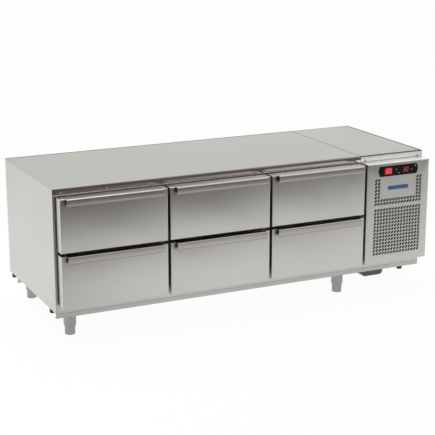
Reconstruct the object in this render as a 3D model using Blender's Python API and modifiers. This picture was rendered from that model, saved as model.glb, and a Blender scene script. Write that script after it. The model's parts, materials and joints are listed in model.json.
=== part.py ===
"""Refrigerated chef base: a low insulated counter with three columns of two
drawers on telescopic runners, a condensing unit bay on the right, and
adjustable legs. Metres, +Z up, -Y to the front, +X to the right. The origin is
on the floor, under the middle of the whole unit."""

import math

import bmesh
import bpy
import numpy as np
from mathutils import Matrix, Vector

# Whole unit
WIDTH = 1.750
BODY_DEPTH = 0.645
BODY_HEIGHT = 0.5185
FRONT_REACH = 0.060
HANDLE_REACH = 0.0195
LEG_HEIGHT = 0.1015
RAIL_HEIGHT = 0.020

# Sheet metal and clearances
SHEET = 0.0015
TOP_SHEET = 0.002
GAP = 0.0003
OVERRUN = 0.010
WELD = 0.001
FOLD_RADIUS = 0.004
FOLD_STEPS = 2
POINT_MERGE = 0.00001
FLAT_ANGLE = math.radians(0.1)
SMOOTH_ANGLE = math.radians(35)

# Worktop, and the machine top at its right
LIP_HEIGHT = 0.027
MACHINE_WIDTH = 0.324

# Insulated carcass
WALL = 0.032
BACK_WALL = 0.045
FLOOR = 0.042
ROOF = 0.040
EDGE_STEPS = 2
ROUND_PROFILE = 0.5

# Front frame, drawers and their openings
FRAME_DEPTH = 0.020
COLUMNS = 3
SIDE_MARGIN = 0.0109
TOP_MARGIN = 0.0015
BOTTOM_MARGIN = 0.0315
DRAWER_GAP = 0.0115
SIDE_OVERLAP = 0.030
END_OVERLAP = 0.024
FRONT_THICKNESS = 0.045
FRONT_EDGE_RADIUS = 0.003
LINER_STEP = 0.008
LINER_INSET = 0.042
HANDLE_INSET = 0.0224
HANDLE_DROP = 0.030
HANDLE_ROOT = 0.012
HANDLE_RETURN = 0.005

# Gasket
GASKET_INSET = 0.004
GASKET_WIDTH = 0.017
GASKET_WAIST = 0.003
GASKET_WAIST_SHARE = 1 / 3

# Telescopic runners
RUNNER_BACK_CLEAR = 0.0797
RUNNER_HEIGHT = 0.045
RUNNER_REACH = 0.011
RUN_CLEAR = 0.0005
FRAME_CLEAR = 0.001
RUNNER_PACK = 0.0135
RUNNER_RISE = 0.042
POST_DEPTH = 0.030

# Pan carrier
CARRIER_BACK_CLEAR = 0.0657
CARRIER_SIDE_FLANGE = 0.030
CARRIER_END_FLANGE = 0.014
CARRIER_BOTTOM_CLEAR = 0.012
CARRIER_TOP_CLEAR = 0.010
WINDOW_HEIGHT = 0.040
WINDOW_MARGIN = 0.040
WINDOW_TOP_INSET = 0.018

# Legs and feet
LEG_SIDE_INSET = 0.083
LEG_SEAM_INSET = 0.060
LEG_FRONT_INSET = 0.078
LEG_BACK_INSET = 0.045
LEG_FLANGE_RADIUS = 0.040
LEG_FLANGE_THICKNESS = 0.004
LEG_RADIUS = 0.0262
LEG_CHAMFER = 0.004
FOOT_RADIUS = 0.0219
FOOT_NECK_RADIUS = 0.0232
FOOT_NECK_HEIGHT = 0.006
FOOT_HEIGHT = 0.040
FOOT_SOLE_CHAMFER = 0.003
STUD_RADIUS = 0.0096
STUD_CLEAR = 0.0004
STUD_LENGTH = 0.055
STUD_HEAD_CLEAR = 0.004
ROUND_STEPS = 16

# Base rails
RAIL_DEPTH = 0.020
RAIL_BACK_INSET = 0.123

# Machine bay
BAY_SIDE_MARGIN = 0.012
BAY_RIGHT_MARGIN = 0.032
BAY_BOTTOM_MARGIN = 0.022
PANEL_SEAM_OVERLAP = 0.0006
PANEL_SIDE_MARGIN = 0.0005
PANEL_EDGE_RADIUS = 0.004
VENT_COUNT = 9
VENT_PITCH = 0.026
VENT_HEIGHT = 0.007
VENT_MARGIN = 0.060
VENT_FIRST_SHARE = 0.35

# Perforations in the grille panel
SLOT_COLUMNS = 16
SLOT_ROWS = 22
SLOT_UPPER_ROWS = 8
SLOT_BAND = 0.0127
SLOT_LENGTH = 0.015
SLOT_WIDTH = 0.0065
SLOT_LEAN = math.radians(45)
SLOT_LEFT_INSET = 0.0464
SLOT_RIGHT_INSET = 0.0452
SLOT_TOP_INSET = 0.075
SLOT_BOTTOM_INSET = 0.0452
PLAIN_MARGIN = 2
PLAIN_ROWS = 6

# Control bezel, with the switch and the display window in it
BEZEL_LEFT_INSET = 0.05855
BEZEL_RIGHT_INSET = 0.06205
BEZEL_TOP_INSET = 0.0134
BEZEL_HEIGHT = 0.046
BEZEL_END_BULGE = 0.007
BEZEL_PROUD = 0.003
BEZEL_BODY_INSET = 0.006
BEZEL_BODY_DEPTH = 0.024
BEZEL_ARC_STEPS = 5
BODY_CLEAR = 0.0005
SWITCH_LEFT_OF_MIDDLE = 0.0527
SWITCH_WIDTH = 0.039
SWITCH_HEIGHT = 0.026
SWITCH_CLEAR = 0.0005
SWITCH_THICKNESS = 0.004
SWITCH_PROUD = 0.002
SWITCH_TILT = math.radians(8)
SWITCH_PIN_RADIUS = 0.0025
SWITCH_WELL = 0.010
DISPLAY_RIGHT_OF_MIDDLE = 0.0363
DISPLAY_WIDTH = 0.058
DISPLAY_HEIGHT = 0.026
DISPLAY_DEPTH = 0.0012

# Condensing unit
COMPRESSOR_RADIUS = 0.078
COMPRESSOR_HEIGHT = 0.175
COMPRESSOR_SEAM = 0.006
COMPRESSOR_SEAM_HEIGHT = 0.005
COMPRESSOR_BACK_INSET = 0.170
COMPRESSOR_PLATE_WIDTH = 0.200
COMPRESSOR_PLATE_DEPTH = 0.140
COMPRESSOR_PLATE_THICKNESS = 0.004
COMPRESSOR_MOUNT_RADIUS = 0.013
COMPRESSOR_MOUNT_HEIGHT = 0.022
COMPRESSOR_MOUNT_INSET = 0.018
COMPRESSOR_SEAM_SHARE = 0.56
COMPRESSOR_SHOULDER_SHARE = 0.84
COMPRESSOR_WAIST_SHARE = 0.18
COMPRESSOR_DOME_SHARE = 0.62
COMPRESSOR_FOOT_SHARE = 0.8
PIPE_RADIUS = 0.005
PIPE_RISE = 0.030
CONDENSER_WIDTH = 0.250
CONDENSER_DEPTH = 0.066
CONDENSER_HEIGHT = 0.270
CONDENSER_FRONT_INSET = 0.030
CONDENSER_PLATE = 0.003
CONDENSER_FINS = 14
FIN_SHARE = 0.45
FIN_DEPTH = 0.012
SHROUD_GAP = 0.014
SHROUD_THICKNESS = 0.016
FAN_RADIUS = 0.100
FAN_TIP_CLEAR = 0.006
FAN_DEPTH = 0.026
FAN_HUB_RADIUS = 0.028
FAN_BLADES = 5
FAN_MOTOR_RADIUS = 0.040
FAN_MOTOR_LENGTH = 0.060
FAN_ARM_WIDTH = 0.014
FAN_ARM_THICKNESS = 0.003
FAN_SPACER = 0.004
SHAFT_RADIUS = 0.004
SHAFT_CLEAR = 0.0003
BLADE_THICKNESS = 0.002
BLADE_TURN = math.radians(46)
BLADE_STEPS = 4

# Evaporator and its fan, on the back wall of the cold room
EVAPORATOR_COLUMN = 1
EVAPORATOR_SIDE_REACH = 0.010
EVAPORATOR_DEPTH = 0.046
EVAPORATOR_HEIGHT = 0.170
EVAPORATOR_TOP_CLEAR = 0.060
EVAPORATOR_FINS = 18
EVAPORATOR_FIN_DEPTH = 0.010
AIR_FAN_RADIUS = 0.055
AIR_FAN_DEPTH = 0.020
AIR_FAN_HUB_RADIUS = 0.018
AIR_FAN_MARGIN = 0.014

# Drip tray under the machine bay
TRAY_BAY_INSET = 0.05185
TRAY_WIDTH = 0.122
TRAY_FRONT_INSET = 0.034
TRAY_DEPTH = 0.150
TRAY_HEIGHT = 0.062
TRAY_TAPER_SHARE = 0.74
TRAY_EDGE_RADIUS = 0.018
TRAY_EDGE_STEPS = 3
TRAY_RIM = 0.008
FACES_UP_SHARE = 0.5

# Places worked out from the sizes above
TOTAL_DEPTH = BODY_DEPTH + FRONT_REACH + HANDLE_REACH
X_LEFT = -WIDTH / 2
X_RIGHT = WIDTH / 2
Y_BACK = TOTAL_DEPTH / 2
Y_FRONT = Y_BACK - BODY_DEPTH
Y_FACE = Y_FRONT - FRONT_REACH
Y_FRONT_REAR = Y_FACE + FRONT_THICKNESS
Z_RAIL = LEG_HEIGHT
Z_BODY = LEG_HEIGHT + RAIL_HEIGHT
Z_TOP = Z_BODY + BODY_HEIGHT
Z_LIP = Z_TOP - LIP_HEIGHT
X_SEAM = X_RIGHT - MACHINE_WIDTH
X_PARTITION = X_SEAM - GAP / 2
X_BAY = X_SEAM + GAP / 2
X_PANEL = X_SEAM - PANEL_SEAM_OVERLAP
X_PANEL_RIGHT = X_RIGHT - PANEL_SIDE_MARGIN
COLUMN_NAMES = ("left", "centre", "right")
ROW_NAMES = ("top", "bottom")
COLUMN_PITCH = (X_PANEL - X_LEFT - SIDE_MARGIN) / COLUMNS
DRAWER_WIDTH = COLUMN_PITCH - DRAWER_GAP
Z_DRAWERS_TOP = Z_LIP - TOP_MARGIN
Z_DRAWERS_BOTTOM = Z_BODY + BOTTOM_MARGIN
ROW_PITCH = (Z_DRAWERS_TOP - Z_DRAWERS_BOTTOM + DRAWER_GAP) / len(ROW_NAMES)
DRAWER_HEIGHT = ROW_PITCH - DRAWER_GAP
OPENING_WIDTH = DRAWER_WIDTH - 2 * SIDE_OVERLAP
OPENING_HEIGHT = DRAWER_HEIGHT - 2 * END_OVERLAP
Z_CAVITY = Z_BODY + FLOOR
Z_CAVITY_TOP = Z_TOP - ROOF
Y_CAVITY_BACK = Y_BACK - BACK_WALL
Y_RUNNER = Y_FRONT + FRAME_DEPTH + GAP
RUNNER_LENGTH = Y_CAVITY_BACK - RUNNER_BACK_CLEAR - Y_RUNNER
Y_CARRIER = Y_FRONT_REAR + LINER_STEP + GAP
CARRIER_LENGTH = Y_CAVITY_BACK - CARRIER_BACK_CLEAR - Y_CARRIER
X_SLOTS = X_PANEL + SLOT_LEFT_INSET
Z_SLOTS = Z_DRAWERS_TOP - SLOT_TOP_INSET
SLOT_PITCH_X = (X_PANEL_RIGHT - SLOT_RIGHT_INSET - X_SLOTS) / (SLOT_COLUMNS - 1)
SLOT_PITCH_Z = (Z_SLOTS - Z_DRAWERS_BOTTOM - SLOT_BOTTOM_INSET - SLOT_BAND) / (SLOT_ROWS - 1)
X_BEZEL = (X_PANEL + BEZEL_LEFT_INSET + X_PANEL_RIGHT - BEZEL_RIGHT_INSET) / 2
BEZEL_WIDTH = X_PANEL_RIGHT - BEZEL_RIGHT_INSET - X_PANEL - BEZEL_LEFT_INSET
Z_BEZEL = Z_DRAWERS_TOP - BEZEL_TOP_INSET - BEZEL_HEIGHT / 2


def clear_scene():
    for old in list(bpy.data.objects):
        bpy.data.objects.remove(old, do_unlink=True)


def new_collection(name):
    made = bpy.data.collections.new(name)
    bpy.context.scene.collection.children.link(made)
    return made


def make_material(name, colour, roughness, metallic):
    made = bpy.data.materials.new(name)
    made.use_nodes = True
    shader = made.node_tree.nodes["Principled BSDF"]
    shader.inputs["Base Color"].default_value = (*colour, 1)
    shader.inputs["Roughness"].default_value = roughness
    shader.inputs["Metallic"].default_value = metallic
    return made


clear_scene()
PARTS = new_collection("chef_base")
CUTTERS = new_collection("cutters")
STEEL = make_material("brushed_steel", (0.56, 0.56, 0.52), 0.34, 1.0)
INNER_STEEL = make_material("runner_steel", (0.62, 0.62, 0.60), 0.28, 1.0)
GALVANISED = make_material("galvanised_sheet", (0.48, 0.49, 0.50), 0.45, 1.0)
RUBBER = make_material("gasket_rubber", (0.015, 0.015, 0.015), 0.7, 0.0)
BLACK_PLASTIC = make_material("black_plastic", (0.012, 0.012, 0.013), 0.25, 0.0)
RED_PLASTIC = make_material("red_plastic", (0.55, 0.02, 0.015), 0.3, 0.0)
BLACK_PAINT = make_material("black_paint", (0.02, 0.02, 0.02), 0.4, 0.0)
ALUMINIUM = make_material("aluminium_fins", (0.75, 0.76, 0.77), 0.4, 1.0)


def link(name, mesh, place, material, home):
    piece = bpy.data.objects.new(name, mesh)
    piece.location = place
    home.objects.link(piece)
    if material and not mesh.materials:
        mesh.materials.append(material)
    if home is CUTTERS:
        piece.hide_render = True
        piece.display_type = "WIRE"
    return piece


def mesh_from(shape, name):
    mesh = bpy.data.meshes.new(name)
    shape.to_mesh(mesh)
    shape.free()
    return mesh


def box(name, low, high, material=None, home=CUTTERS, radius=0.0, steps=EDGE_STEPS):
    """A block between two corners, with its edges rounded if a radius is given."""
    low = Vector(low)
    high = Vector(high)
    shape = bmesh.new()
    bmesh.ops.create_cube(shape, size=1)
    bmesh.ops.scale(shape, vec=high - low, verts=shape.verts)
    if radius:
        bmesh.ops.bevel(
            shape,
            geom=shape.edges[:],
            offset=radius,
            segments=steps,
            profile=ROUND_PROFILE,
            affect="EDGES",
        )
    return link(name, mesh_from(shape, name), (low + high) / 2, material, home)


def cylinder(name, centre, radius, length, axis="Z", material=None, home=CUTTERS):
    """A round bar, centred, along one axis."""
    shape = bmesh.new()
    bmesh.ops.create_cone(
        shape, cap_ends=True, segments=ROUND_STEPS, radius1=radius, radius2=radius, depth=length
    )
    turn = {"X": Matrix.Rotation(math.pi / 2, 4, "Y"), "Y": Matrix.Rotation(math.pi / 2, 4, "X")}
    bmesh.ops.transform(shape, matrix=turn.get(axis, Matrix()), verts=shape.verts)
    return link(name, mesh_from(shape, name), centre, material, home)


def weld_caps(mesh):
    shape = bmesh.new()
    shape.from_mesh(mesh)
    bmesh.ops.remove_doubles(shape, verts=shape.verts, dist=POINT_MERGE)
    bmesh.ops.dissolve_degenerate(shape, dist=POINT_MERGE, edges=shape.edges)
    bmesh.ops.dissolve_limit(
        shape, angle_limit=FLAT_ANGLE, verts=shape.verts, edges=shape.edges, use_dissolve_boundaries=False
    )
    bmesh.ops.recalc_face_normals(shape, faces=shape.faces)
    shape.to_mesh(mesh)
    shape.free()


TURNS = {
    "X": Matrix(((0, 0, 1, 0), (1, 0, 0, 0), (0, 1, 0, 0), (0, 0, 0, 1))),
    "Y": Matrix(((1, 0, 0, 0), (0, 0, -1, 0), (0, 1, 0, 0), (0, 0, 0, 1))),
    "Z": Matrix.Identity(4),
}


def extrusion(name, outlines, axis, start, end, material=None, home=CUTTERS):
    """Flat outlines, the first filled and the others as holes, pulled along an
    axis. Their points are (y, z) along X, (x, z) along Y and (x, y) along Z."""
    curve = bpy.data.curves.new(name, "CURVE")
    curve.dimensions = "2D"
    curve.fill_mode = "BOTH"
    curve.extrude = (end - start) / 2
    for outline in outlines:
        spline = curve.splines.new("POLY")
        spline.points.add(len(outline) - 1)
        for point, (u, v) in zip(spline.points, outline):
            point.co = (u, v, 0, 1)
        spline.use_cyclic_u = True
    flat = bpy.data.objects.new(name, curve)
    CUTTERS.objects.link(flat)
    middle = (start + end) / 2
    shift = {"X": (middle, 0, 0), "Y": (0, middle, 0), "Z": (0, 0, middle)}[axis]
    bpy.context.view_layer.update()
    graph = bpy.context.evaluated_depsgraph_get()
    mesh = bpy.data.meshes.new_from_object(flat.evaluated_get(graph))
    mesh.transform(TURNS[axis])
    bpy.data.objects.remove(flat, do_unlink=True)
    weld_caps(mesh)
    return link(name, mesh, shift, material, home)


def rounded(path, radius, steps=FOLD_STEPS, closed=False):
    """A path with each corner swept by an arc of the given radius."""
    count = len(path)
    made = []
    for i, corner in enumerate(path):
        if not closed and i in (0, count - 1):
            made.append(corner)
            continue
        here = np.array(corner)
        back = np.array(path[i - 1]) - here
        ahead = np.array(path[(i + 1) % count]) - here
        back /= np.linalg.norm(back)
        ahead /= np.linalg.norm(ahead)
        half = math.acos(np.clip(back @ ahead, -1, 1)) / 2
        reach = radius / math.tan(half)
        centre = here + (back + ahead) / np.linalg.norm(back + ahead) * radius / math.sin(half)
        first = here + back * reach - centre
        last = here + ahead * reach - centre
        for step in range(steps + 1):
            share = step / steps
            angle = (math.pi - 2 * half) * share
            side = math.copysign(1, first[0] * last[1] - first[1] * last[0])
            cos, sin = math.cos(angle), math.sin(angle) * side
            spot = (first[0] * cos - first[1] * sin, first[0] * sin + first[1] * cos)
            made.append((centre[0] + spot[0], centre[1] + spot[1]))
    return made


def sheet(path, thickness):
    """The closed outline of a folded sheet: the path, and the same path moved
    to its left by the thickness, with mitred corners."""
    points = np.array(path)
    runs = np.diff(points, axis=0)
    runs /= np.linalg.norm(runs, axis=1)[:, None]
    sides = np.stack([-runs[:, 1], runs[:, 0]], axis=1)
    before = np.vstack([sides[:1], sides])
    after = np.vstack([sides, sides[-1:]])
    mitre = before + after
    mitre /= np.sum(mitre * before, axis=1)[:, None]
    moved = points + mitre * thickness
    return [tuple(p) for p in points] + [tuple(p) for p in moved[::-1]]


def turned(name, profile, place, material=None, home=PARTS):
    """A profile of (radius, height), top to bottom, turned about Z."""
    mesh = bpy.data.meshes.new(name)
    points = [(radius, 0, height) for radius, height in profile]
    mesh.from_pydata(points, [(i, i + 1) for i in range(len(points) - 1)], [])
    piece = link(name, mesh, place, material, home)
    screw = piece.modifiers.new("turn", "SCREW")
    screw.steps = ROUND_STEPS
    screw.render_steps = ROUND_STEPS
    screw.use_merge_vertices = True
    screw.merge_threshold = POINT_MERGE
    screw.use_smooth_shade = True
    return piece


def combine(piece, others, operation):
    for other in others:
        made = piece.modifiers.new(other.name, "BOOLEAN")
        made.operation = operation
        made.object = other
        made.solver = "EXACT"
    return piece


def cut(piece, *others):
    return combine(piece, others, "DIFFERENCE")


def fuse(piece, *others):
    return combine(piece, others, "UNION")


def frozen(piece):
    """The mesh that a piece's modifiers make, for copies to share. The piece
    and the shapes that cut or joined it are removed."""
    helpers = [modifier.object for modifier in piece.modifiers if modifier.type == "BOOLEAN"]
    bpy.context.view_layer.update()
    graph = bpy.context.evaluated_depsgraph_get()
    mesh = bpy.data.meshes.new_from_object(piece.evaluated_get(graph))
    mesh.transform(Matrix.Translation(piece.location))
    for old in [piece, *helpers]:
        bpy.data.objects.remove(old, do_unlink=True)
    return mesh


def carrier_empty(name, place):
    """An empty on a joint's axis, which its moving pieces are parented to."""
    made = bpy.data.objects.new(name, None)
    made.empty_display_size = OVERRUN
    made.location = place
    PARTS.objects.link(made)
    return made


def carry(empty, *pieces):
    for piece in pieces:
        piece.parent = empty
        piece.location = piece.location - empty.location


def open_box(name, low, high, missing, thickness, material, radius=0.0):
    """A folded sheet box without the faces whose outward normals are listed.
    Its walls grow inwards from the outer size."""
    low = Vector(low)
    high = Vector(high)
    for normal in missing:
        for axis, way in enumerate(normal):
            if way < 0:
                low[axis] -= radius
            elif way > 0:
                high[axis] += radius
    piece = box(name, low, high, material, PARTS, radius, FOLD_STEPS)
    shape = bmesh.new()
    shape.from_mesh(piece.data)
    half = (high - low) / 2
    for normal in missing:
        normal = Vector(normal)
        limit = sum(abs(n) * h for n, h in zip(normal, half)) - radius - WELD
        gone = [face for face in shape.faces if face.calc_center_median().dot(normal) > limit]
        bmesh.ops.delete(shape, geom=gone, context="FACES")
    shape.to_mesh(piece.data)
    shape.free()
    wall = piece.modifiers.new("wall", "SOLIDIFY")
    wall.thickness = thickness
    wall.offset = -1
    wall.use_even_offset = True
    return piece


def smooth(piece):
    piece.data.shade_smooth()
    piece.data.set_sharp_from_angle(angle=SMOOTH_ANGLE)
    return piece


def drawer_left(column):
    return X_LEFT + SIDE_MARGIN + column * COLUMN_PITCH


def drawer_top(row):
    return Z_DRAWERS_TOP - row * ROW_PITCH


def opening_left(column):
    return drawer_left(column) + SIDE_OVERLAP


def opening_bottom(row):
    return drawer_top(row) - DRAWER_HEIGHT + END_OVERLAP


def make_tops():
    """The worktop and the machine top: one sheet each, folded down at the edges."""
    open_box(
        "worktop",
        (X_LEFT, Y_FRONT, Z_LIP),
        (X_PARTITION, Y_BACK, Z_TOP),
        [(-1, 0, 0), (1, 0, 0), (0, 0, -1)],
        TOP_SHEET,
        STEEL,
        FOLD_RADIUS,
    )
    open_box(
        "machine_top",
        (X_BAY, Y_FRONT, Z_LIP),
        (X_RIGHT, Y_BACK, Z_TOP),
        [(-1, 0, 0), (0, 0, -1)],
        TOP_SHEET,
        STEEL,
        FOLD_RADIUS,
    )


def make_shell():
    """The foam-filled carcass, open at the front, with a rebate for the front
    frame and notches for the worktop's lips."""
    notch = TOP_SHEET + GAP
    low_top = Z_LIP - GAP
    high_top = Z_TOP - notch
    outline = [
        (Y_FRONT, Z_BODY),
        (Y_BACK, Z_BODY),
        (Y_BACK, low_top),
        (Y_BACK - notch, low_top),
        (Y_BACK - notch, high_top - FOLD_RADIUS),
        (Y_BACK - notch - FOLD_RADIUS, high_top),
        (Y_FRONT + notch + FOLD_RADIUS, high_top),
        (Y_FRONT + notch, high_top - FOLD_RADIUS),
        (Y_FRONT + notch, low_top),
        (Y_FRONT, low_top),
    ]
    shell = extrusion("cabinet_shell", [outline], "X", X_LEFT, X_PARTITION, STEEL, PARTS)
    cavity = box(
        "cold_room",
        (X_LEFT + WALL, Y_FRONT - OVERRUN, Z_CAVITY),
        (X_PARTITION - WALL, Y_CAVITY_BACK, Z_CAVITY_TOP),
    )
    rebate = box(
        "frame_rebate",
        (X_LEFT + SHEET, Y_FRONT - OVERRUN, Z_BODY - OVERRUN),
        (X_PARTITION + OVERRUN, Y_FRONT + FRAME_DEPTH + GAP, Z_LIP),
    )
    cut(shell, cavity, rebate)


def make_front_frame():
    frame = box(
        "front_frame",
        (X_LEFT + SHEET + GAP, Y_FRONT, Z_BODY),
        (X_RIGHT - SHEET - GAP, Y_FRONT + FRAME_DEPTH, Z_LIP - GAP),
        STEEL,
        PARTS,
    )
    for column in range(COLUMNS):
        for row in range(len(ROW_NAMES)):
            left = opening_left(column)
            bottom = opening_bottom(row)
            cut(
                frame,
                box(
                    f"drawer_opening_{ROW_NAMES[row]}_{COLUMN_NAMES[column]}",
                    (left, Y_FRONT - OVERRUN, bottom),
                    (left + OPENING_WIDTH, Y_FRONT + FRAME_DEPTH + OVERRUN, bottom + OPENING_HEIGHT),
                ),
            )
    cut(
        frame,
        box(
            "bay_opening",
            (X_BAY + BAY_SIDE_MARGIN, Y_FRONT - OVERRUN, Z_DRAWERS_BOTTOM + BAY_BOTTOM_MARGIN),
            (X_RIGHT - BAY_RIGHT_MARGIN, Y_FRONT + FRAME_DEPTH + OVERRUN, Z_DRAWERS_TOP - END_OVERLAP),
        ),
    )


def channel(web_outer, web_inner, tip, height, centre):
    """A C section's outline (x, z): its web from web_outer to web_inner, and
    its flanges from the web to the tip."""
    side = math.copysign(1, tip - web_inner)
    half = height / 2
    inside = half - SHEET
    path = [
        (web_outer, centre - half),
        (tip, centre - half),
        (tip, centre - inside),
        (web_inner, centre - inside),
        (web_inner, centre + inside),
        (tip, centre + inside),
        (tip, centre + half),
        (web_outer, centre + half),
    ]
    return path if side > 0 else path[::-1]


def fixed_channel(edge, side, centre):
    """The runner member that stays on the rack, at an opening's edge."""
    inner = edge + side * (FRAME_CLEAR - RUN_CLEAR)
    return channel(inner - side * SHEET, inner, inner + side * RUNNER_REACH, RUNNER_HEIGHT, centre)


def middle_channel(edge, side, centre):
    """The runner member between the rack's and the drawer's."""
    outer = edge + side * FRAME_CLEAR
    height = RUNNER_HEIGHT - 2 * (SHEET + RUN_CLEAR)
    return channel(outer, outer + side * SHEET, outer + side * RUNNER_REACH, height, centre)


def drawer_channel(edge, side, centre):
    """The runner member on the pan carrier, which opens towards the rack."""
    web_outer = edge + side * RUNNER_PACK
    tip = edge + side * (FRAME_CLEAR + SHEET + RUN_CLEAR)
    height = RUNNER_HEIGHT - 4 * (SHEET + RUN_CLEAR)
    return channel(web_outer, web_outer - side * SHEET, tip, height, centre)


def make_rack(name, left_limit, right_limit, left_edge, right_edge):
    """Two posts, with a fixed runner channel for each drawer beside them. A
    limit is where the posts end; an edge is the drawer opening that they serve."""
    posts = []
    for end, y in (("front", Y_RUNNER), ("rear", Y_RUNNER + RUNNER_LENGTH - POST_DEPTH)):
        posts.append((end, y))
    rack = box(
        name,
        (left_limit, posts[0][1], Z_CAVITY + GAP),
        (right_limit, posts[0][1] + POST_DEPTH, Z_CAVITY_TOP - GAP),
        INNER_STEEL,
        PARTS,
    )
    fuse(
        rack,
        box(
            name + "_rear_post",
            (left_limit, posts[1][1], Z_CAVITY + GAP),
            (right_limit, posts[1][1] + POST_DEPTH, Z_CAVITY_TOP - GAP),
        ),
    )
    for row in range(len(ROW_NAMES)):
        centre = opening_bottom(row) + RUNNER_RISE
        for edge, side, where in ((left_edge, -1, "left"), (right_edge, 1, "right")):
            if edge is None:
                continue
            member = extrusion(
                f"{name}_{where}_{ROW_NAMES[row]}",
                [fixed_channel(edge, side, centre)],
                "Y",
                Y_RUNNER,
                Y_RUNNER + RUNNER_LENGTH,
            )
            fuse(rack, member)


def make_racks():
    web_reach = SHEET - FRAME_CLEAR + RUN_CLEAR - WELD
    make_rack("runner_rack_left", X_LEFT + WALL + GAP, opening_left(0) - web_reach, None, opening_left(0))
    for column in range(COLUMNS - 1):
        left_edge = opening_left(column) + OPENING_WIDTH
        right_edge = opening_left(column + 1)
        make_rack(
            f"runner_rack_middle_{column + 1}",
            left_edge + web_reach,
            right_edge - web_reach,
            left_edge,
            right_edge,
        )
    last_edge = opening_left(COLUMNS - 1) + OPENING_WIDTH
    make_rack("runner_rack_right", last_edge + web_reach, X_PARTITION - WALL - GAP, last_edge, None)


def drawer_front_mesh():
    """An insulated front with its handle folded from the outer skin. Its own
    origin is the middle of its top edge, on the plane of the cabinet's front."""
    half = DRAWER_WIDTH / 2
    rear = -FRONT_REACH + FRONT_THICKNESS
    front = box(
        "front_body",
        (-half, -FRONT_REACH, -DRAWER_HEIGHT),
        (half, rear, 0),
        STEEL,
        radius=FRONT_EDGE_RADIUS,
    )
    liner = box(
        "front_liner",
        (-half + LINER_INSET, rear - WELD, -DRAWER_HEIGHT + LINER_INSET),
        (half - LINER_INSET, rear + LINER_STEP, -LINER_INSET),
    )
    lip = -FRONT_REACH - HANDLE_REACH
    path = rounded(
        [
            (-FRONT_REACH + HANDLE_ROOT, 0),
            (lip, 0),
            (lip, -HANDLE_DROP),
            (lip + HANDLE_RETURN, -HANDLE_DROP),
        ],
        HANDLE_RETURN - SHEET,
    )
    handle = extrusion(
        "front_handle", [sheet(path, SHEET)], "X", -half + HANDLE_INSET, half - HANDLE_INSET
    )
    return frozen(fuse(front, liner, handle))


def gasket_mesh():
    """A rubber ring between the front and the frame, waisted like a bellows."""
    half = DRAWER_WIDTH / 2 - GASKET_INSET
    top = -GASKET_INSET
    bottom = -DRAWER_HEIGHT + GASKET_INSET
    start = -FRONT_REACH + FRONT_THICKNESS + GAP
    end = -GAP
    depth = end - start
    ring = extrusion(
        "gasket_ring",
        [
            [(-half, bottom), (half, bottom), (half, top), (-half, top)],
            [
                (-half + GASKET_WIDTH, bottom + GASKET_WIDTH),
                (half - GASKET_WIDTH, bottom + GASKET_WIDTH),
                (half - GASKET_WIDTH, top - GASKET_WIDTH),
                (-half + GASKET_WIDTH, top - GASKET_WIDTH),
            ],
        ],
        "Y",
        start,
        end,
        RUBBER,
    )
    waist = extrusion(
        "gasket_waist",
        [
            [
                (-half - OVERRUN, bottom - OVERRUN),
                (half + OVERRUN, bottom - OVERRUN),
                (half + OVERRUN, top + OVERRUN),
                (-half - OVERRUN, top + OVERRUN),
            ],
            [
                (-half + GASKET_WAIST, bottom + GASKET_WAIST),
                (half - GASKET_WAIST, bottom + GASKET_WAIST),
                (half - GASKET_WAIST, top - GASKET_WAIST),
                (-half + GASKET_WAIST, top - GASKET_WAIST),
            ],
        ],
        "Y",
        start + depth * GASKET_WAIST_SHARE,
        end - depth * GASKET_WAIST_SHARE,
    )
    return frozen(cut(ring, waist))


def pan_carrier_mesh():
    """A frame of folded sheet that a gastronorm pan hangs in, with the drawer's
    own runner channels on its sides. Same origin as the drawer front."""
    edge = OPENING_WIDTH / 2
    half = edge - RUNNER_PACK + WELD
    start = Y_CARRIER - Y_FRONT
    end = start + CARRIER_LENGTH
    floor = -DRAWER_HEIGHT + END_OVERLAP
    bottom = floor + CARRIER_BOTTOM_CLEAR
    top = -END_OVERLAP - CARRIER_TOP_CLEAR
    carrier = box("carrier_body", (-half, start, bottom), (half, end, top), INNER_STEEL)
    hollow = box(
        "carrier_hollow",
        (-half + SHEET, start + SHEET, bottom - OVERRUN),
        (half - SHEET, end - SHEET, top - SHEET),
    )
    mouth = box(
        "carrier_mouth",
        (-half + CARRIER_SIDE_FLANGE, start + CARRIER_END_FLANGE, bottom),
        (half - CARRIER_SIDE_FLANGE, end - CARRIER_END_FLANGE, top + OVERRUN),
    )
    cut(carrier, hollow, mouth)
    window_top = top - WINDOW_TOP_INSET
    window_length = (CARRIER_LENGTH - 3 * WINDOW_MARGIN) / 2
    for number in range(2):
        first = start + WINDOW_MARGIN + number * (window_length + WINDOW_MARGIN)
        window = box(
            f"carrier_window_{number + 1}",
            (-half - OVERRUN, first, window_top - WINDOW_HEIGHT),
            (half + OVERRUN, first + window_length, window_top),
        )
        cut(carrier, window)
    centre = floor + RUNNER_RISE
    runner_start = FRAME_DEPTH + GAP
    for side, where in ((1, "left"), (-1, "right")):
        member = extrusion(
            f"carrier_runner_{where}",
            [drawer_channel(-side * edge, side, centre)],
            "Y",
            runner_start,
            runner_start + RUNNER_LENGTH,
        )
        fuse(carrier, member)
    return frozen(carrier)


def middle_runner_mesh(side):
    """The middle runner of one side. Same origin as the drawer front."""
    centre = -DRAWER_HEIGHT + END_OVERLAP + RUNNER_RISE
    start = FRAME_DEPTH + GAP
    return frozen(
        extrusion(
            "middle_runner",
            [middle_channel(-side * OPENING_WIDTH / 2, side, centre)],
            "Y",
            start,
            start + RUNNER_LENGTH,
            INNER_STEEL,
        )
    )


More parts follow.
